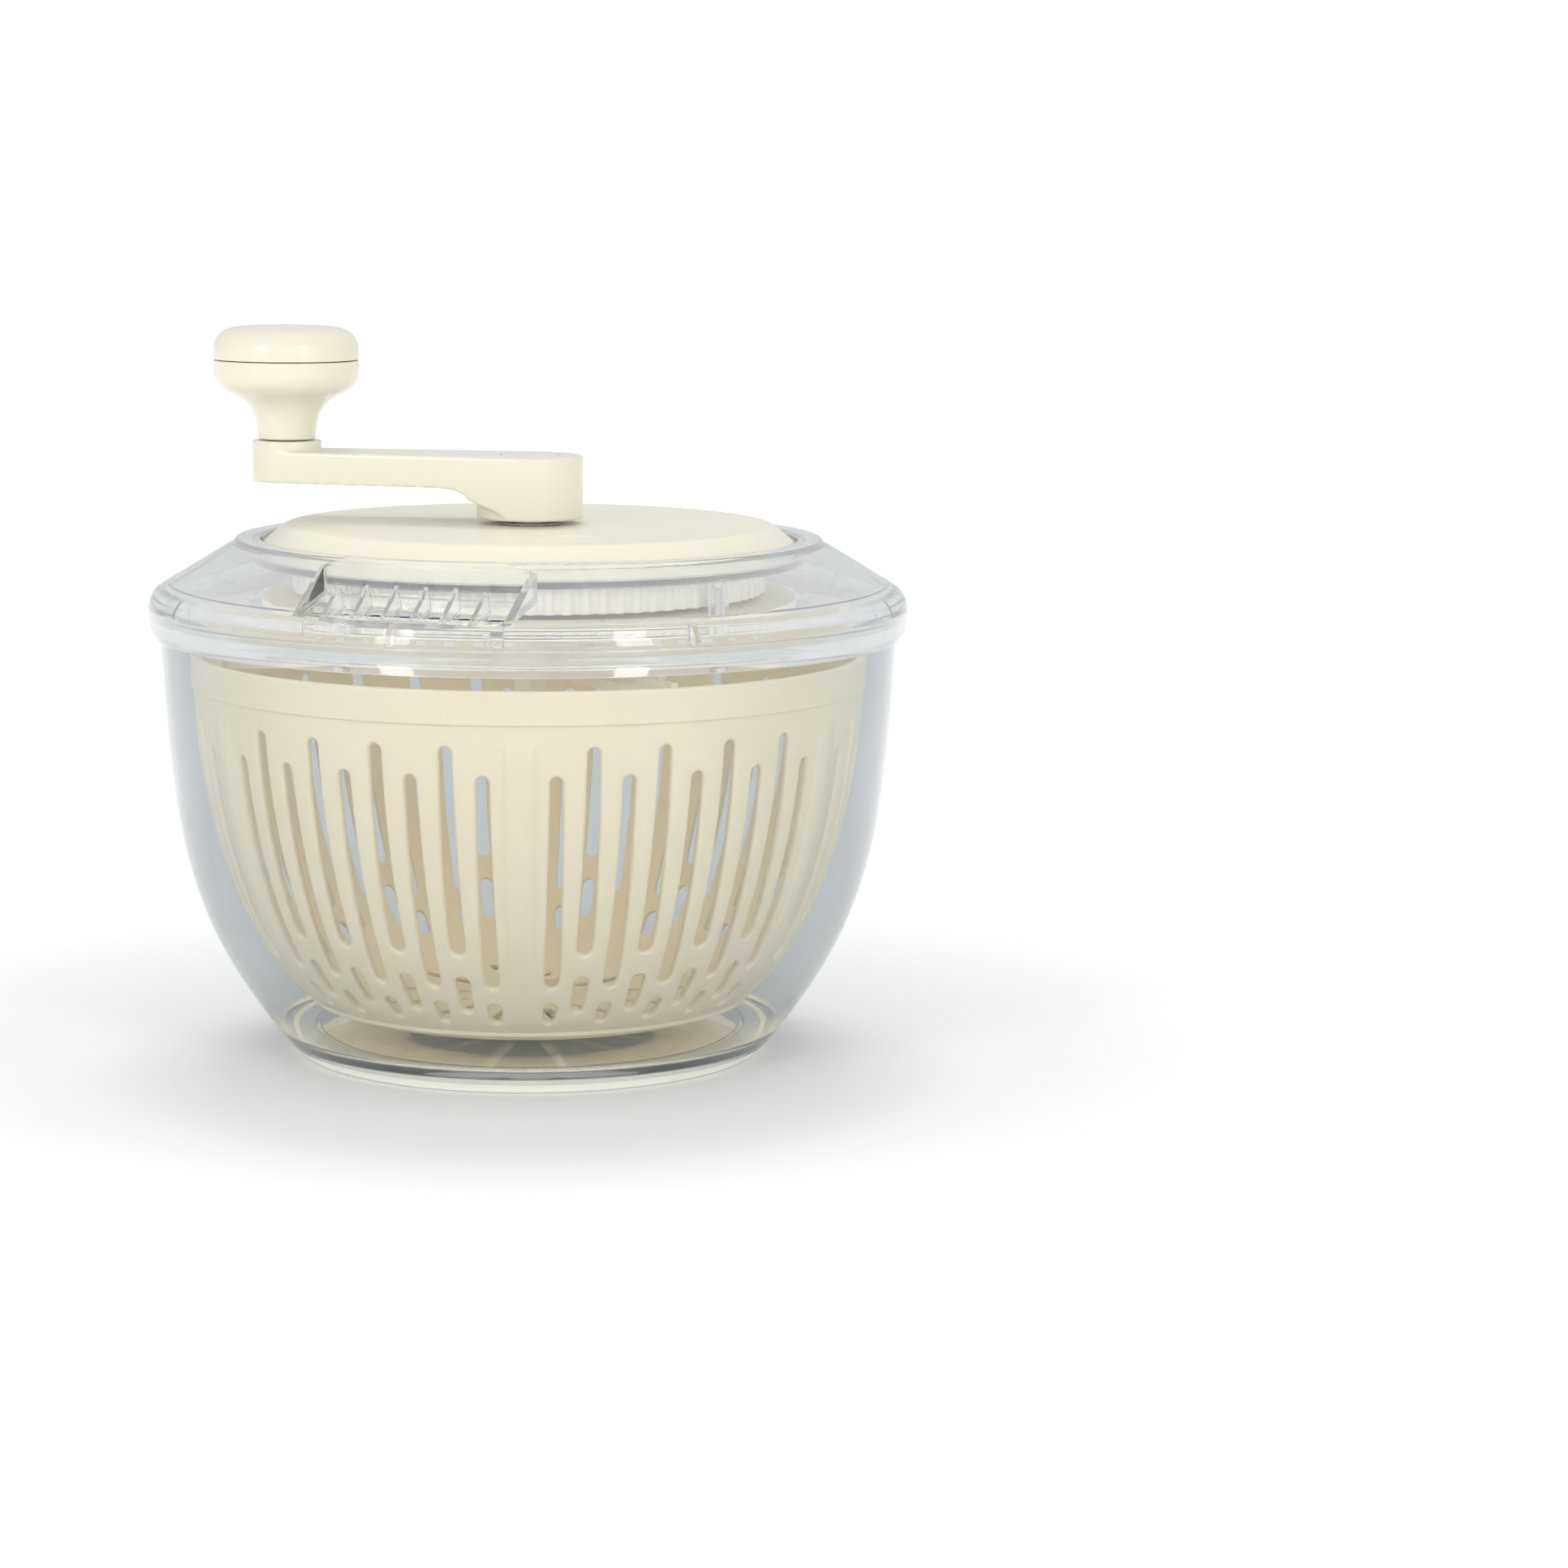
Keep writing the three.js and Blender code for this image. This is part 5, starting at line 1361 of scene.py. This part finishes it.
@dataclass
class Cover:
    """The cream gear cover in the lid's recess, with a shallow dimple for a finger."""

    radius: float = field(default_factory=lambda: reach("gear_cover"))
    foot_z: float = field(default_factory=lambda: foot("gear_cover"))
    top_z: float = 175.0 * MM
    bevel_height: float = 6.0 * MM
    bevel_width: float = 7.4 * MM
    wall: float = 2.4 * MM
    hole: float = 9.9 * MM
    dimple: tuple[float, float] = (13.5 * MM, -57.0 * MM)
    dish_radius: float = 7.2 * MM
    dish_depth: float = 0.8 * MM
    lip_radius: float = 11.0 * MM
    lip_height: float = 0.5 * MM

    def surface(self, points: Array) -> Array:
        """Lifts points of the flat top to its height, with the dimple pressed in.

        Args:
            points: Points from above.

        Returns:
            The points in space.
        """
        away = np.linalg.norm(points - np.array(self.dimple), axis=1)
        dish = np.where(away < self.dish_radius, np.cos(away / self.dish_radius * np.pi) * 0.5 + 0.5, 0.0)
        middle = (self.dish_radius + self.lip_radius) / 2
        half = self.lip_radius - middle + 0.8 * MM
        near = np.clip(1 - np.abs(away - middle) / half, 0, 1)
        lip = near * near * (3 - 2 * near)
        return np.column_stack([points, self.top_z - self.dish_depth * dish + self.lip_height * lip])

    def build(self) -> dict[str, Piece]:
        """Makes the cover."""
        flat = self.radius - self.bevel_width
        bevel_z = self.top_z - self.bevel_height
        inner = self.radius - self.wall
        soft = 0.5 * MM
        start = flat - 3 * MM
        outer = [(start, self.top_z), (flat, self.top_z, 4 * MM), (self.radius, bevel_z, 2.2 * MM),
                 (self.radius, self.foot_z, soft), (inner, self.foot_z, soft),
                 (inner, bevel_z - 1 * MM, 2 * MM),
                 (flat - 1 * MM, self.top_z - self.wall, 2 * MM), (self.hole, self.top_z - self.wall, soft),
                 (self.hole, self.top_z, soft), (self.hole + 2 * MM, self.top_z)]
        skin = Skin().lathe(softened(outer, steps=8), Sides.LARGE)
        hole = self.hole + 2 * MM
        edges = [circle(start, Sides.LARGE), circle(hole, Sides.LARGE)]
        rings = [circle(r, 56, self.dimple, 0.05 * i)
                 for i, r in enumerate(np.arange(0.6 * MM, self.lip_radius + 2.4 * MM, 0.6 * MM))]
        rings += [circle(r, 60) for r in np.arange(hole + 6 * MM, start - 4 * MM, 9 * MM)
                  if abs(r - abs(self.dimple[1])) > self.lip_radius + 6 * MM]
        sheet = SlottedSheet(lambda points, depth: self.surface(points), edges, np.concatenate(rings), [],
                             0.0, 0.0, 0.0, lambda points: np.linalg.norm(points, axis=1) < hole - soft / 9)
        sheet.face(skin, 0.0, 0.0)
        return {"cover": skin.piece("lid_gear_cover")}

    def dress(self, pieces: Mapping[str, Piece]) -> None:
        """Finishes the cover."""
        dressed(pieces["cover"], Finishes.cover, Body.LID, "gear_cover")


@dataclass
class GearTrain:
    """The ring gear that turns with the crank, and the plate under the gears."""

    teeth: int = 84
    module: float = 1.75 * MM
    ring_radius: float = 77.99 * MM
    ridge: float = 1.5 * MM
    low_z: float = field(default_factory=lambda: foot("ring_gear"))
    high_z: float = field(default_factory=lambda: top("ring_gear"))
    web: float = 2.0 * MM
    bore: float = 6.3 * MM
    steps: int = 12
    base_radius: float = field(default_factory=lambda: reach("gear_base"))
    base_z: float = field(default_factory=lambda: foot("gear_base"))
    base_top: float = 149.5 * MM
    boss_top: float = field(default_factory=lambda: top("gear_base"))
    planet_orbit: float = 47.25 * MM
    planets: int = 3
    planet_boss: float = 5.0 * MM
    base_hole: float = 9.9 * MM
    web_radius: float = 70.0 * MM
    web_inner: float = 60.0 * MM
    ridge_slope: float = 1.6
    tooth_slope: float = 1.1

    def _ridged(self, inward: float = 0.0) -> Array:
        """The ring gear's outer outline: a flat-topped ridge outside each tooth."""
        phase = np.arange(self.teeth * self.steps) / self.steps
        wave = np.cos(2 * np.pi * phase)
        lift = np.clip(0.5 + self.ridge_slope * wave, 0, 1)
        radius = self.ring_radius - inward - self.ridge * (1 - lift * lift * (3 - 2 * lift))
        angle = 2 * np.pi * phase / self.teeth
        return np.stack([np.cos(angle), np.sin(angle)], axis=1) * radius[:, None]

    def _toothed(self, grow: float = 0.0) -> Array:
        """The ring gear's inner outline, with one tooth for each ridge."""
        phase = np.arange(self.teeth * self.steps) / self.steps
        wave = np.cos(2 * np.pi * phase)
        lift = np.clip(0.5 - self.tooth_slope * wave, 0, 1)
        pitch = self.module * self.teeth / 2
        low, high = pitch - 0.95 * self.module, pitch + 1.25 * self.module
        radius = low + (high - low) * lift + grow
        angle = 2 * np.pi * phase / self.teeth
        return np.stack([np.cos(angle), np.sin(angle)], axis=1) * radius[:, None]

    def build_ring(self) -> Piece:
        """Makes the ring gear with its ridges, teeth and web."""
        sides = self.teeth * self.steps
        soft = 0.35 * MM
        outer, inner = self._ridged(), self._toothed()
        under = self.high_z - self.web
        loops = [lifted(self._toothed(soft), self.low_z), lifted(self._ridged(soft), self.low_z),
                 lifted(outer, self.low_z + soft), lifted(outer, self.high_z - soft),
                 lifted(self._ridged(soft), self.high_z), lifted(circle(self.web_radius, sides), self.high_z),
                 lifted(circle(self.bore, sides), self.high_z), lifted(circle(self.bore, sides), under),
                 lifted(circle(self.web_inner, sides), under), lifted(inner, under),
                 lifted(inner, self.low_z + soft)]
        return Skin().rows(loops, closed=True).piece("crank_ring_gear", 50)

    def build_base(self) -> Piece:
        """Makes the plate under the gears, with the planets' bosses."""
        soft = 0.5 * MM
        plate = Skin().lathe(softened([
            (self.base_hole, self.base_z, soft), (self.base_radius, self.base_z, soft),
            (self.base_radius, self.base_top, soft), (self.base_hole, self.base_top, soft)], closed=True),
            Sides.LARGE, closed=True).piece("lid_gear_plate")
        bosses = []
        for i in range(self.planets):
            angle = math.radians(180 + 360 / self.planets * i)
            middle = self.planet_orbit * math.sin(angle), -self.planet_orbit * math.cos(angle)
            boss = softened([(0, self.base_top - 1 * MM), (self.planet_boss, self.base_top - 1 * MM),
                             (self.planet_boss, self.boss_top, soft), (0, self.boss_top)])
            bosses.append(Skin().lathe(boss, Sides.SMALL, centre=middle).piece("boss"))
        combined(plate, bosses, Cut.JOIN)
        smooth(plate, 40)
        return plate

    def build(self) -> dict[str, Piece]:
        """Makes the ring gear and the plate."""
        return {"ring": self.build_ring(), "base": self.build_base()}

    def dress(self, pieces: Mapping[str, Piece]) -> None:
        """Finishes the gears, the plate and the small parts round them."""
        dressed(pieces["ring"], Finishes.gear, Body.CRANK, "ring_gear")
        dressed(pieces["base"], Finishes.plate, Body.LID, "gear_base")
        painted(Finishes.gear, "planet_gear_1", "planet_gear_2", "planet_gear_3", "sun_gear")
        painted(Finishes.nylon, "crank_bush", "sun_bush", "drive_shaft")
        painted(Finishes.steel, *(f"lid_screw_{i}" for i in range(1, 5)),
                *(f"planet_pin_{i}" for i in range(1, 4)), "drive_clip", "crank_shaft", "crank_screw",
                "knob_pin")
        painted(Finishes.cover, "drive_carrier")


@dataclass
class Crank:
    """The crank's arm, hub and knob boss in one soft-edged moulding, and the cap over its screw."""

    azimuth: float = 256.0
    reach: float = 83.0 * MM
    hub_radius: float = 17.5 * MM
    hub_z: float = field(default_factory=lambda: foot("crank_arm"))
    arm_top: float = 197.4 * MM
    arm_z: float = 187.0 * MM
    boss_radius: float = 11.4 * MM
    boss_z: float = 188.5 * MM
    boss_top: float = field(default_factory=lambda: top("crank_arm"))
    arch_length: float = 11.4 * MM
    arch_height: float = 3.6 * MM
    cap_radius: float = 9.6 * MM
    cap_z: float = field(default_factory=lambda: foot("hub_cap"))
    voxel: float = 0.5 * MM
    rounding: int = 5

    def plan(self) -> Array:
        """The arm from above: two circles joined by their outer tangents, out along -Y."""
        lean = math.asin((self.hub_radius - self.boss_radius) / self.reach)
        near = np.linspace(-lean, math.pi + lean, 49)
        far = np.linspace(math.pi + lean, 2 * math.pi - lean, 33)
        hub = np.stack([np.cos(near), np.sin(near)], axis=1) * self.hub_radius
        boss = np.stack([np.cos(far), np.sin(far)], axis=1) * self.boss_radius
        return np.concatenate([hub, boss - np.array([0, self.reach])])

    def side(self) -> Array:
        """The arm from the side: a low arch meets the hub at a corner and slants on down its side."""
        root = self.hub_radius - 0.4 * MM
        arch = [(root + self.arch_length * (1 - math.cos(a)),
                 self.arm_z - self.arch_height * (1 - math.sin(a)))
                for a in np.linspace(0, math.pi / 2, 13)]
        end = self.reach + 2 * self.boss_radius
        return np.array([(0, self.hub_z), *arch, (end, self.arm_z), (end, self.arm_top), (0, self.arm_top)])

    def build_arm(self) -> Piece:
        """Makes the arm along -Y, rounds it all over and turns it to its azimuth."""
        arm = Skin().slab(self.plan(), self.hub_z, self.arm_top, 0.1 * MM).piece("crank_handle")
        side = Skin().slab(self.side(), -30 * MM, 30 * MM, 0.0001 * MM, standing(0)).piece("side")
        combined(arm, [side], Cut.KEEP)
        hub = Skin().slab(circle(self.hub_radius, Sides.MEDIUM), self.hub_z, self.arm_top, 0.1 * MM)
        boss = Skin().slab(circle(self.boss_radius, Sides.MEDIUM, (0, -self.reach)),
                           self.boss_z, self.boss_top, 0.1 * MM)
        combined(arm, [hub.piece("hub"), boss.piece("boss")], Cut.JOIN)
        remesh = arm.modifiers.new("even", "REMESH")
        remesh.mode, remesh.voxel_size = "VOXEL", self.voxel
        soften = arm.modifiers.new("soft", "SMOOTH")
        soften.factor, soften.iterations = 0.5, self.rounding
        settled(arm)
        well = Skin().slab(circle(self.cap_radius + 0.3 * MM, Sides.MEDIUM), self.cap_z - 0.3 * MM,
                           self.arm_top + 2 * MM, 0.05 * MM)
        combined(arm, [well.piece("well")], Cut.REMOVE)
        smooth(arm, 50)
        return turned_by(arm, about_z(self.azimuth))

    def build_cap(self) -> Piece:
        """Makes the cap that hides the crank's screw."""
        profile = softened([(0, self.cap_z), (self.cap_radius, self.cap_z, 0.3 * MM),
                            (self.cap_radius, self.arm_top, 0.5 * MM), (0, self.arm_top)])
        return Skin().lathe(profile, Sides.MEDIUM).piece("crank_hub_cap")

    def build(self) -> dict[str, Piece]:
        """Makes the crank's moulding and its cap."""
        return {"arm": self.build_arm(), "cap": self.build_cap()}

    def dress(self, pieces: Mapping[str, Piece]) -> None:
        """Finishes the crank."""
        dressed(pieces["arm"], Finishes.crank, Body.CRANK, "crank_arm")
        dressed(pieces["cap"], Finishes.crank, Body.CRANK, "hub_cap")


@dataclass
class Knob:
    """The knob that spins on the crank's pin: a flared stem and a flat cap with a fine joint."""

    radius: float = 24.0 * MM
    neck: float = 9.4 * MM
    foot_z: float = field(default_factory=lambda: foot("knob_stem"))
    top_z: float = field(default_factory=lambda: top("knob_cap"))
    split_z: float = field(default_factory=lambda: top("knob_stem"))
    cap_z: float = 227.3 * MM
    wall: float = 5.0 * MM
    bore: float = 3.4 * MM
    seat_height: float = 13.6 * MM
    seat_radius: float = 7.4 * MM

    def axis(self) -> tuple[float, float]:
        """Where the knob's axis stands."""
        low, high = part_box("knob_stem")
        return (low.x + high.x) / 2, (low.y + high.y) / 2

    def stem(self) -> Array:
        """Section of the stem, closed."""
        seat = self.foot_z + self.seat_height
        inner = self.radius - self.wall
        flare = bezier((self.neck + 0.4 * MM, self.foot_z + 4 * MM),
                       (self.neck + 2.4 * MM, self.split_z - 8 * MM),
                       (self.radius - 0.4 * MM, self.split_z - 14 * MM),
                       (self.radius, self.split_z - 3 * MM), 28)
        return softened([
            (self.bore, self.foot_z, 0.3 * MM), (self.neck, self.foot_z, 0.5 * MM), *map(tuple, flare),
            (self.radius, self.split_z, 0.35 * MM), (inner, self.split_z, 0.3 * MM),
            (inner, self.split_z - 4 * MM, 0.5 * MM), (self.seat_radius, seat, 0.5 * MM),
            (self.bore, seat, 0.3 * MM)],
            closed=True)

    def cap(self) -> Array:
        """Section of the cap, from the middle of its underside to the middle of its top."""
        foot_z, plug = self.cap_z, self.radius - self.wall - 0.3 * MM
        edge = bezier((self.radius, foot_z + 2 * MM), (self.radius, self.top_z - 3 * MM),
                      (self.radius - 3 * MM, self.top_z - 0.6 * MM),
                      (self.radius - 10 * MM, self.top_z - 0.2 * MM), 24)
        return softened([
            (0, foot_z + 2 * MM), (plug - 2 * MM, foot_z + 2 * MM),
            (plug - 2 * MM, foot_z - 3 * MM, 0.3 * MM),
            (plug, foot_z - 3 * MM, 0.3 * MM), (plug, foot_z, 0.2 * MM), (self.radius, foot_z, 0.35 * MM),
            *map(tuple, edge), (self.radius - 14 * MM, self.top_z - 0.06 * MM), (0, self.top_z)])

    def build(self) -> dict[str, Piece]:
        """Makes the stem and the cap."""
        middle = self.axis()
        stem = Skin().lathe(self.stem(), Sides.MEDIUM, closed=True, centre=middle)
        return {"stem": stem.piece("knob_grip"),
                "cap": Skin().lathe(self.cap(), Sides.MEDIUM, centre=middle).piece("knob_top")}

    def dress(self, pieces: Mapping[str, Piece]) -> None:
        """Finishes the knob."""
        dressed(pieces["stem"], Finishes.crank, Body.KNOB, "knob_stem")
        dressed(pieces["cap"], Finishes.crank, Body.KNOB, "knob_cap")


# ---- Studio ----
@dataclass(frozen=True)
class SoftBox:
    """A soft box: where it hangs, its size, its power and whether glossy pieces mirror it."""

    azimuth: float
    elevation: float
    width: float
    height: float
    power: float
    mirrored: bool = True

    def way(self) -> Vector:
        """The direction from the spinner to the box."""
        a, e = math.radians(self.azimuth), math.radians(self.elevation)
        return Vector((math.sin(a) * math.cos(e), -math.cos(a) * math.cos(e), math.sin(e)))


@dataclass
class Studio:
    """A white floor in a white room, tall soft boxes in front and one above, and the camera."""

    floor_half: float = 12.0
    floor_colour: Colour = (0.96, 0.96, 0.96)
    far_glow: float = 0.36
    glow_start: float = 0.18
    glow_end: float = 0.55
    # Colours of the floor seen through clear plastic: a painted warm glow and painted warm bounce light under
    # the bowl, for the light off the basket's underside, and a painted grey shade farther out.
    under_glow: Colour = (2.0, 1.5, 0.6)
    painted_through_shade: Colour = (0.52, 0.56, 0.58)
    painted_warm_bounce: Colour = (1.0, 0.9, 0.62)
    painted_bounce_radius: float = 84 * MM
    painted_bounce_edge: float = 14 * MM
    backdrop: Colour = (1.1, 1.1, 1.1)
    front_light: Colour = (1.3, 1.3, 1.3)
    back_light: Colour = (0.7, 0.73, 0.75)
    high_light: Colour = (0.6, 0.605, 0.61)
    bounces: int = 40
    fill_power: float = 0.03
    fill_place: tuple[float, float, float] = (0.0, 0.0, 0.09)
    fill_radius: float = 0.03
    fill_colour: Colour = (1.0, 0.86, 0.58)
    boxes: tuple[SoftBox, ...] = (SoftBox(-40.0, 20.0, 0.28, 0.8, 3.8), SoftBox(30.0, 20.0, 0.28, 0.8, 3.8),
                                  SoftBox(180.0, 68.0, 0.6, 0.6, 7.0, mirrored=False))
    box_distance: float = 1.6
    aim: tuple[float, float, float] = (0.0, 0.0, 0.12)
    lens: float = 96.45
    sensor: float = 36.0
    camera_place: tuple[float, float, float] = (0.0, -1.3837, 0.2974)
    camera_pitch: float = 8.594
    camera_yaw: float = 3.497
    camera_roll: float = 0.488

    def build(self) -> None:
        """Makes the floor, the room, the lights and the camera."""
        self._floor()
        self._room()
        for box in self.boxes:
            self._box(box)
        self._fill()
        self._camera()
        scene = bpy.context.scene
        scene.view_settings.view_transform = "Standard"
        scene.cycles.transparent_max_bounces = self.bounces
        scene.cycles.max_bounces = scene.cycles.transmission_bounces = self.bounces

    def _floor(self) -> None:
        """Lays the floor, which glows a little; seen through clear plastic it has a painted grey shade, and
        under the bowl a painted warm glow and painted warm bounce light.
        """
        half = self.floor_half
        corners = [(-half, -half, 0), (half, -half, 0), (half, half, 0), (-half, half, 0)]
        floor = Skin().triangles(np.array(corners), [(0, 1, 2, 3)]).piece("studio_floor")
        graph = Graph(bpy.data.materials.new("studio_floor_paint"))
        place = graph.wire("ShaderNodeTexCoord", output="Object")
        away = graph.wire("ShaderNodeVectorMath", {"operation": "LENGTH"}, {0: place}, "Value")
        through = graph.seen_through()
        darker = tuple(c * 0.99 for c in self.floor_colour)
        white = graph.between(graph.noise(0.4), darker, self.floor_colour)
        # Under the bowl the floor seen through plastic gets painted warm bounce light and a painted warm
        # glow; farther out a painted grey shade.
        painted_bounce_share = ((away - self.painted_bounce_radius) * (1 / self.painted_bounce_edge)).clamped()
        behind = graph.between(painted_bounce_share, self.painted_warm_bounce, self.painted_through_shade)
        glow = ((away - self.glow_start) * (1 / (self.glow_end - self.glow_start))).clamped()
        lit = graph.between(glow, BLACK, WHITE)
        under = graph.between(painted_bounce_share, self.under_glow, BLACK)
        floor.data.materials.append(graph.finish(graph.shader({
            "Base Color": graph.between(through, white, behind), "Roughness": 0.8,
            "Specular IOR Level": 0.1, "Emission Strength": self.far_glow,
            "Emission Color": graph.between(through, lit, under)})))

    def _room(self) -> None:
        """Lights the scene brightly from the front, less from above and behind, on a white backdrop."""
        world = bpy.data.worlds.new("studio_room")
        graph = Graph(world)
        place = graph.wire("ShaderNodeTexCoord", output="Generated")
        ways = graph.node("ShaderNodeSeparateXYZ", None, {0: place})
        back = Wire(graph, ways.outputs["Y"]) * 0.5 + 0.5
        around = graph.between(back.clamped(), self.front_light, self.back_light)
        light = graph.between(Wire(graph, ways.outputs["Z"]).clamped(), around, self.high_light)
        seen = graph.wire("ShaderNodeLightPath", output="Is Camera Ray")
        colour = graph.between(seen, light, self.backdrop)
        graph.node("ShaderNodeOutputWorld", None, {
            "Surface": graph.wire("ShaderNodeBackground", None, {"Color": colour, "Strength": 1.0})})
        bpy.context.scene.world = world

    def _box(self, box: SoftBox) -> None:
        """Hangs a soft box so that it faces the spinner."""
        light = bpy.data.lights.new("soft_box", "AREA")
        light.shape, light.size, light.size_y = "RECTANGLE", box.width, box.height
        light.energy = box.power
        hung = bpy.data.objects.new("soft_box", light)
        hung.location = Vector(self.aim) + box.way() * self.box_distance
        hung.rotation_mode = "QUATERNION"
        hung.rotation_quaternion = (-box.way()).to_track_quat("-Z", "Y")
        hung.visible_camera = False
        hung.visible_glossy = hung.visible_transmission = box.mirrored
        bpy.context.scene.collection.objects.link(hung)

    def _fill(self) -> None:
        """Puts a small unseen lamp inside, which stands for the light that cream walls hand on."""
        light = bpy.data.lights.new("inner_fill", "POINT")
        light.energy, light.shadow_soft_size = self.fill_power, self.fill_radius
        light.color = self.fill_colour
        lamp = bpy.data.objects.new("inner_fill", light)
        lamp.location = self.fill_place
        lamp.visible_camera = lamp.visible_transmission = lamp.visible_glossy = False
        bpy.context.scene.collection.objects.link(lamp)

    def _camera(self) -> None:
        """Stands the camera in front of the spinner, a little above it."""
        pitch, yaw, roll = (math.radians(a) for a in (self.camera_pitch, self.camera_yaw, self.camera_roll))
        ahead = Vector((math.sin(yaw) * math.cos(pitch), math.cos(yaw) * math.cos(pitch), -math.sin(pitch)))
        right = Vector((math.cos(yaw), -math.sin(yaw), 0))
        up = right.cross(ahead)
        side = math.cos(roll) * right + math.sin(roll) * up
        above = math.cos(roll) * up - math.sin(roll) * right
        data = bpy.data.cameras.new("camera")
        data.lens, data.sensor_width = self.lens, self.sensor
        camera = bpy.data.objects.new("camera", data)
        turn = Matrix((side, above, -ahead)).transposed()
        camera.matrix_world = Matrix.Translation(self.camera_place) @ turn.to_4x4()
        bpy.context.scene.collection.objects.link(camera)
        bpy.context.scene.camera = camera


def main() -> None:
    """Builds and dresses every sub-assembly in order, then the studio."""
    logging.basicConfig(level=logging.INFO, format="%(name)s: %(message)s")
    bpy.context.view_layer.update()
    Studio().build()
    for part in (Bowl(), Basket(), Lid(), Cover(), GearTrain(), Crank(), Knob()):
        part.dress(part.build())


if __name__ == "__main__":
    main()
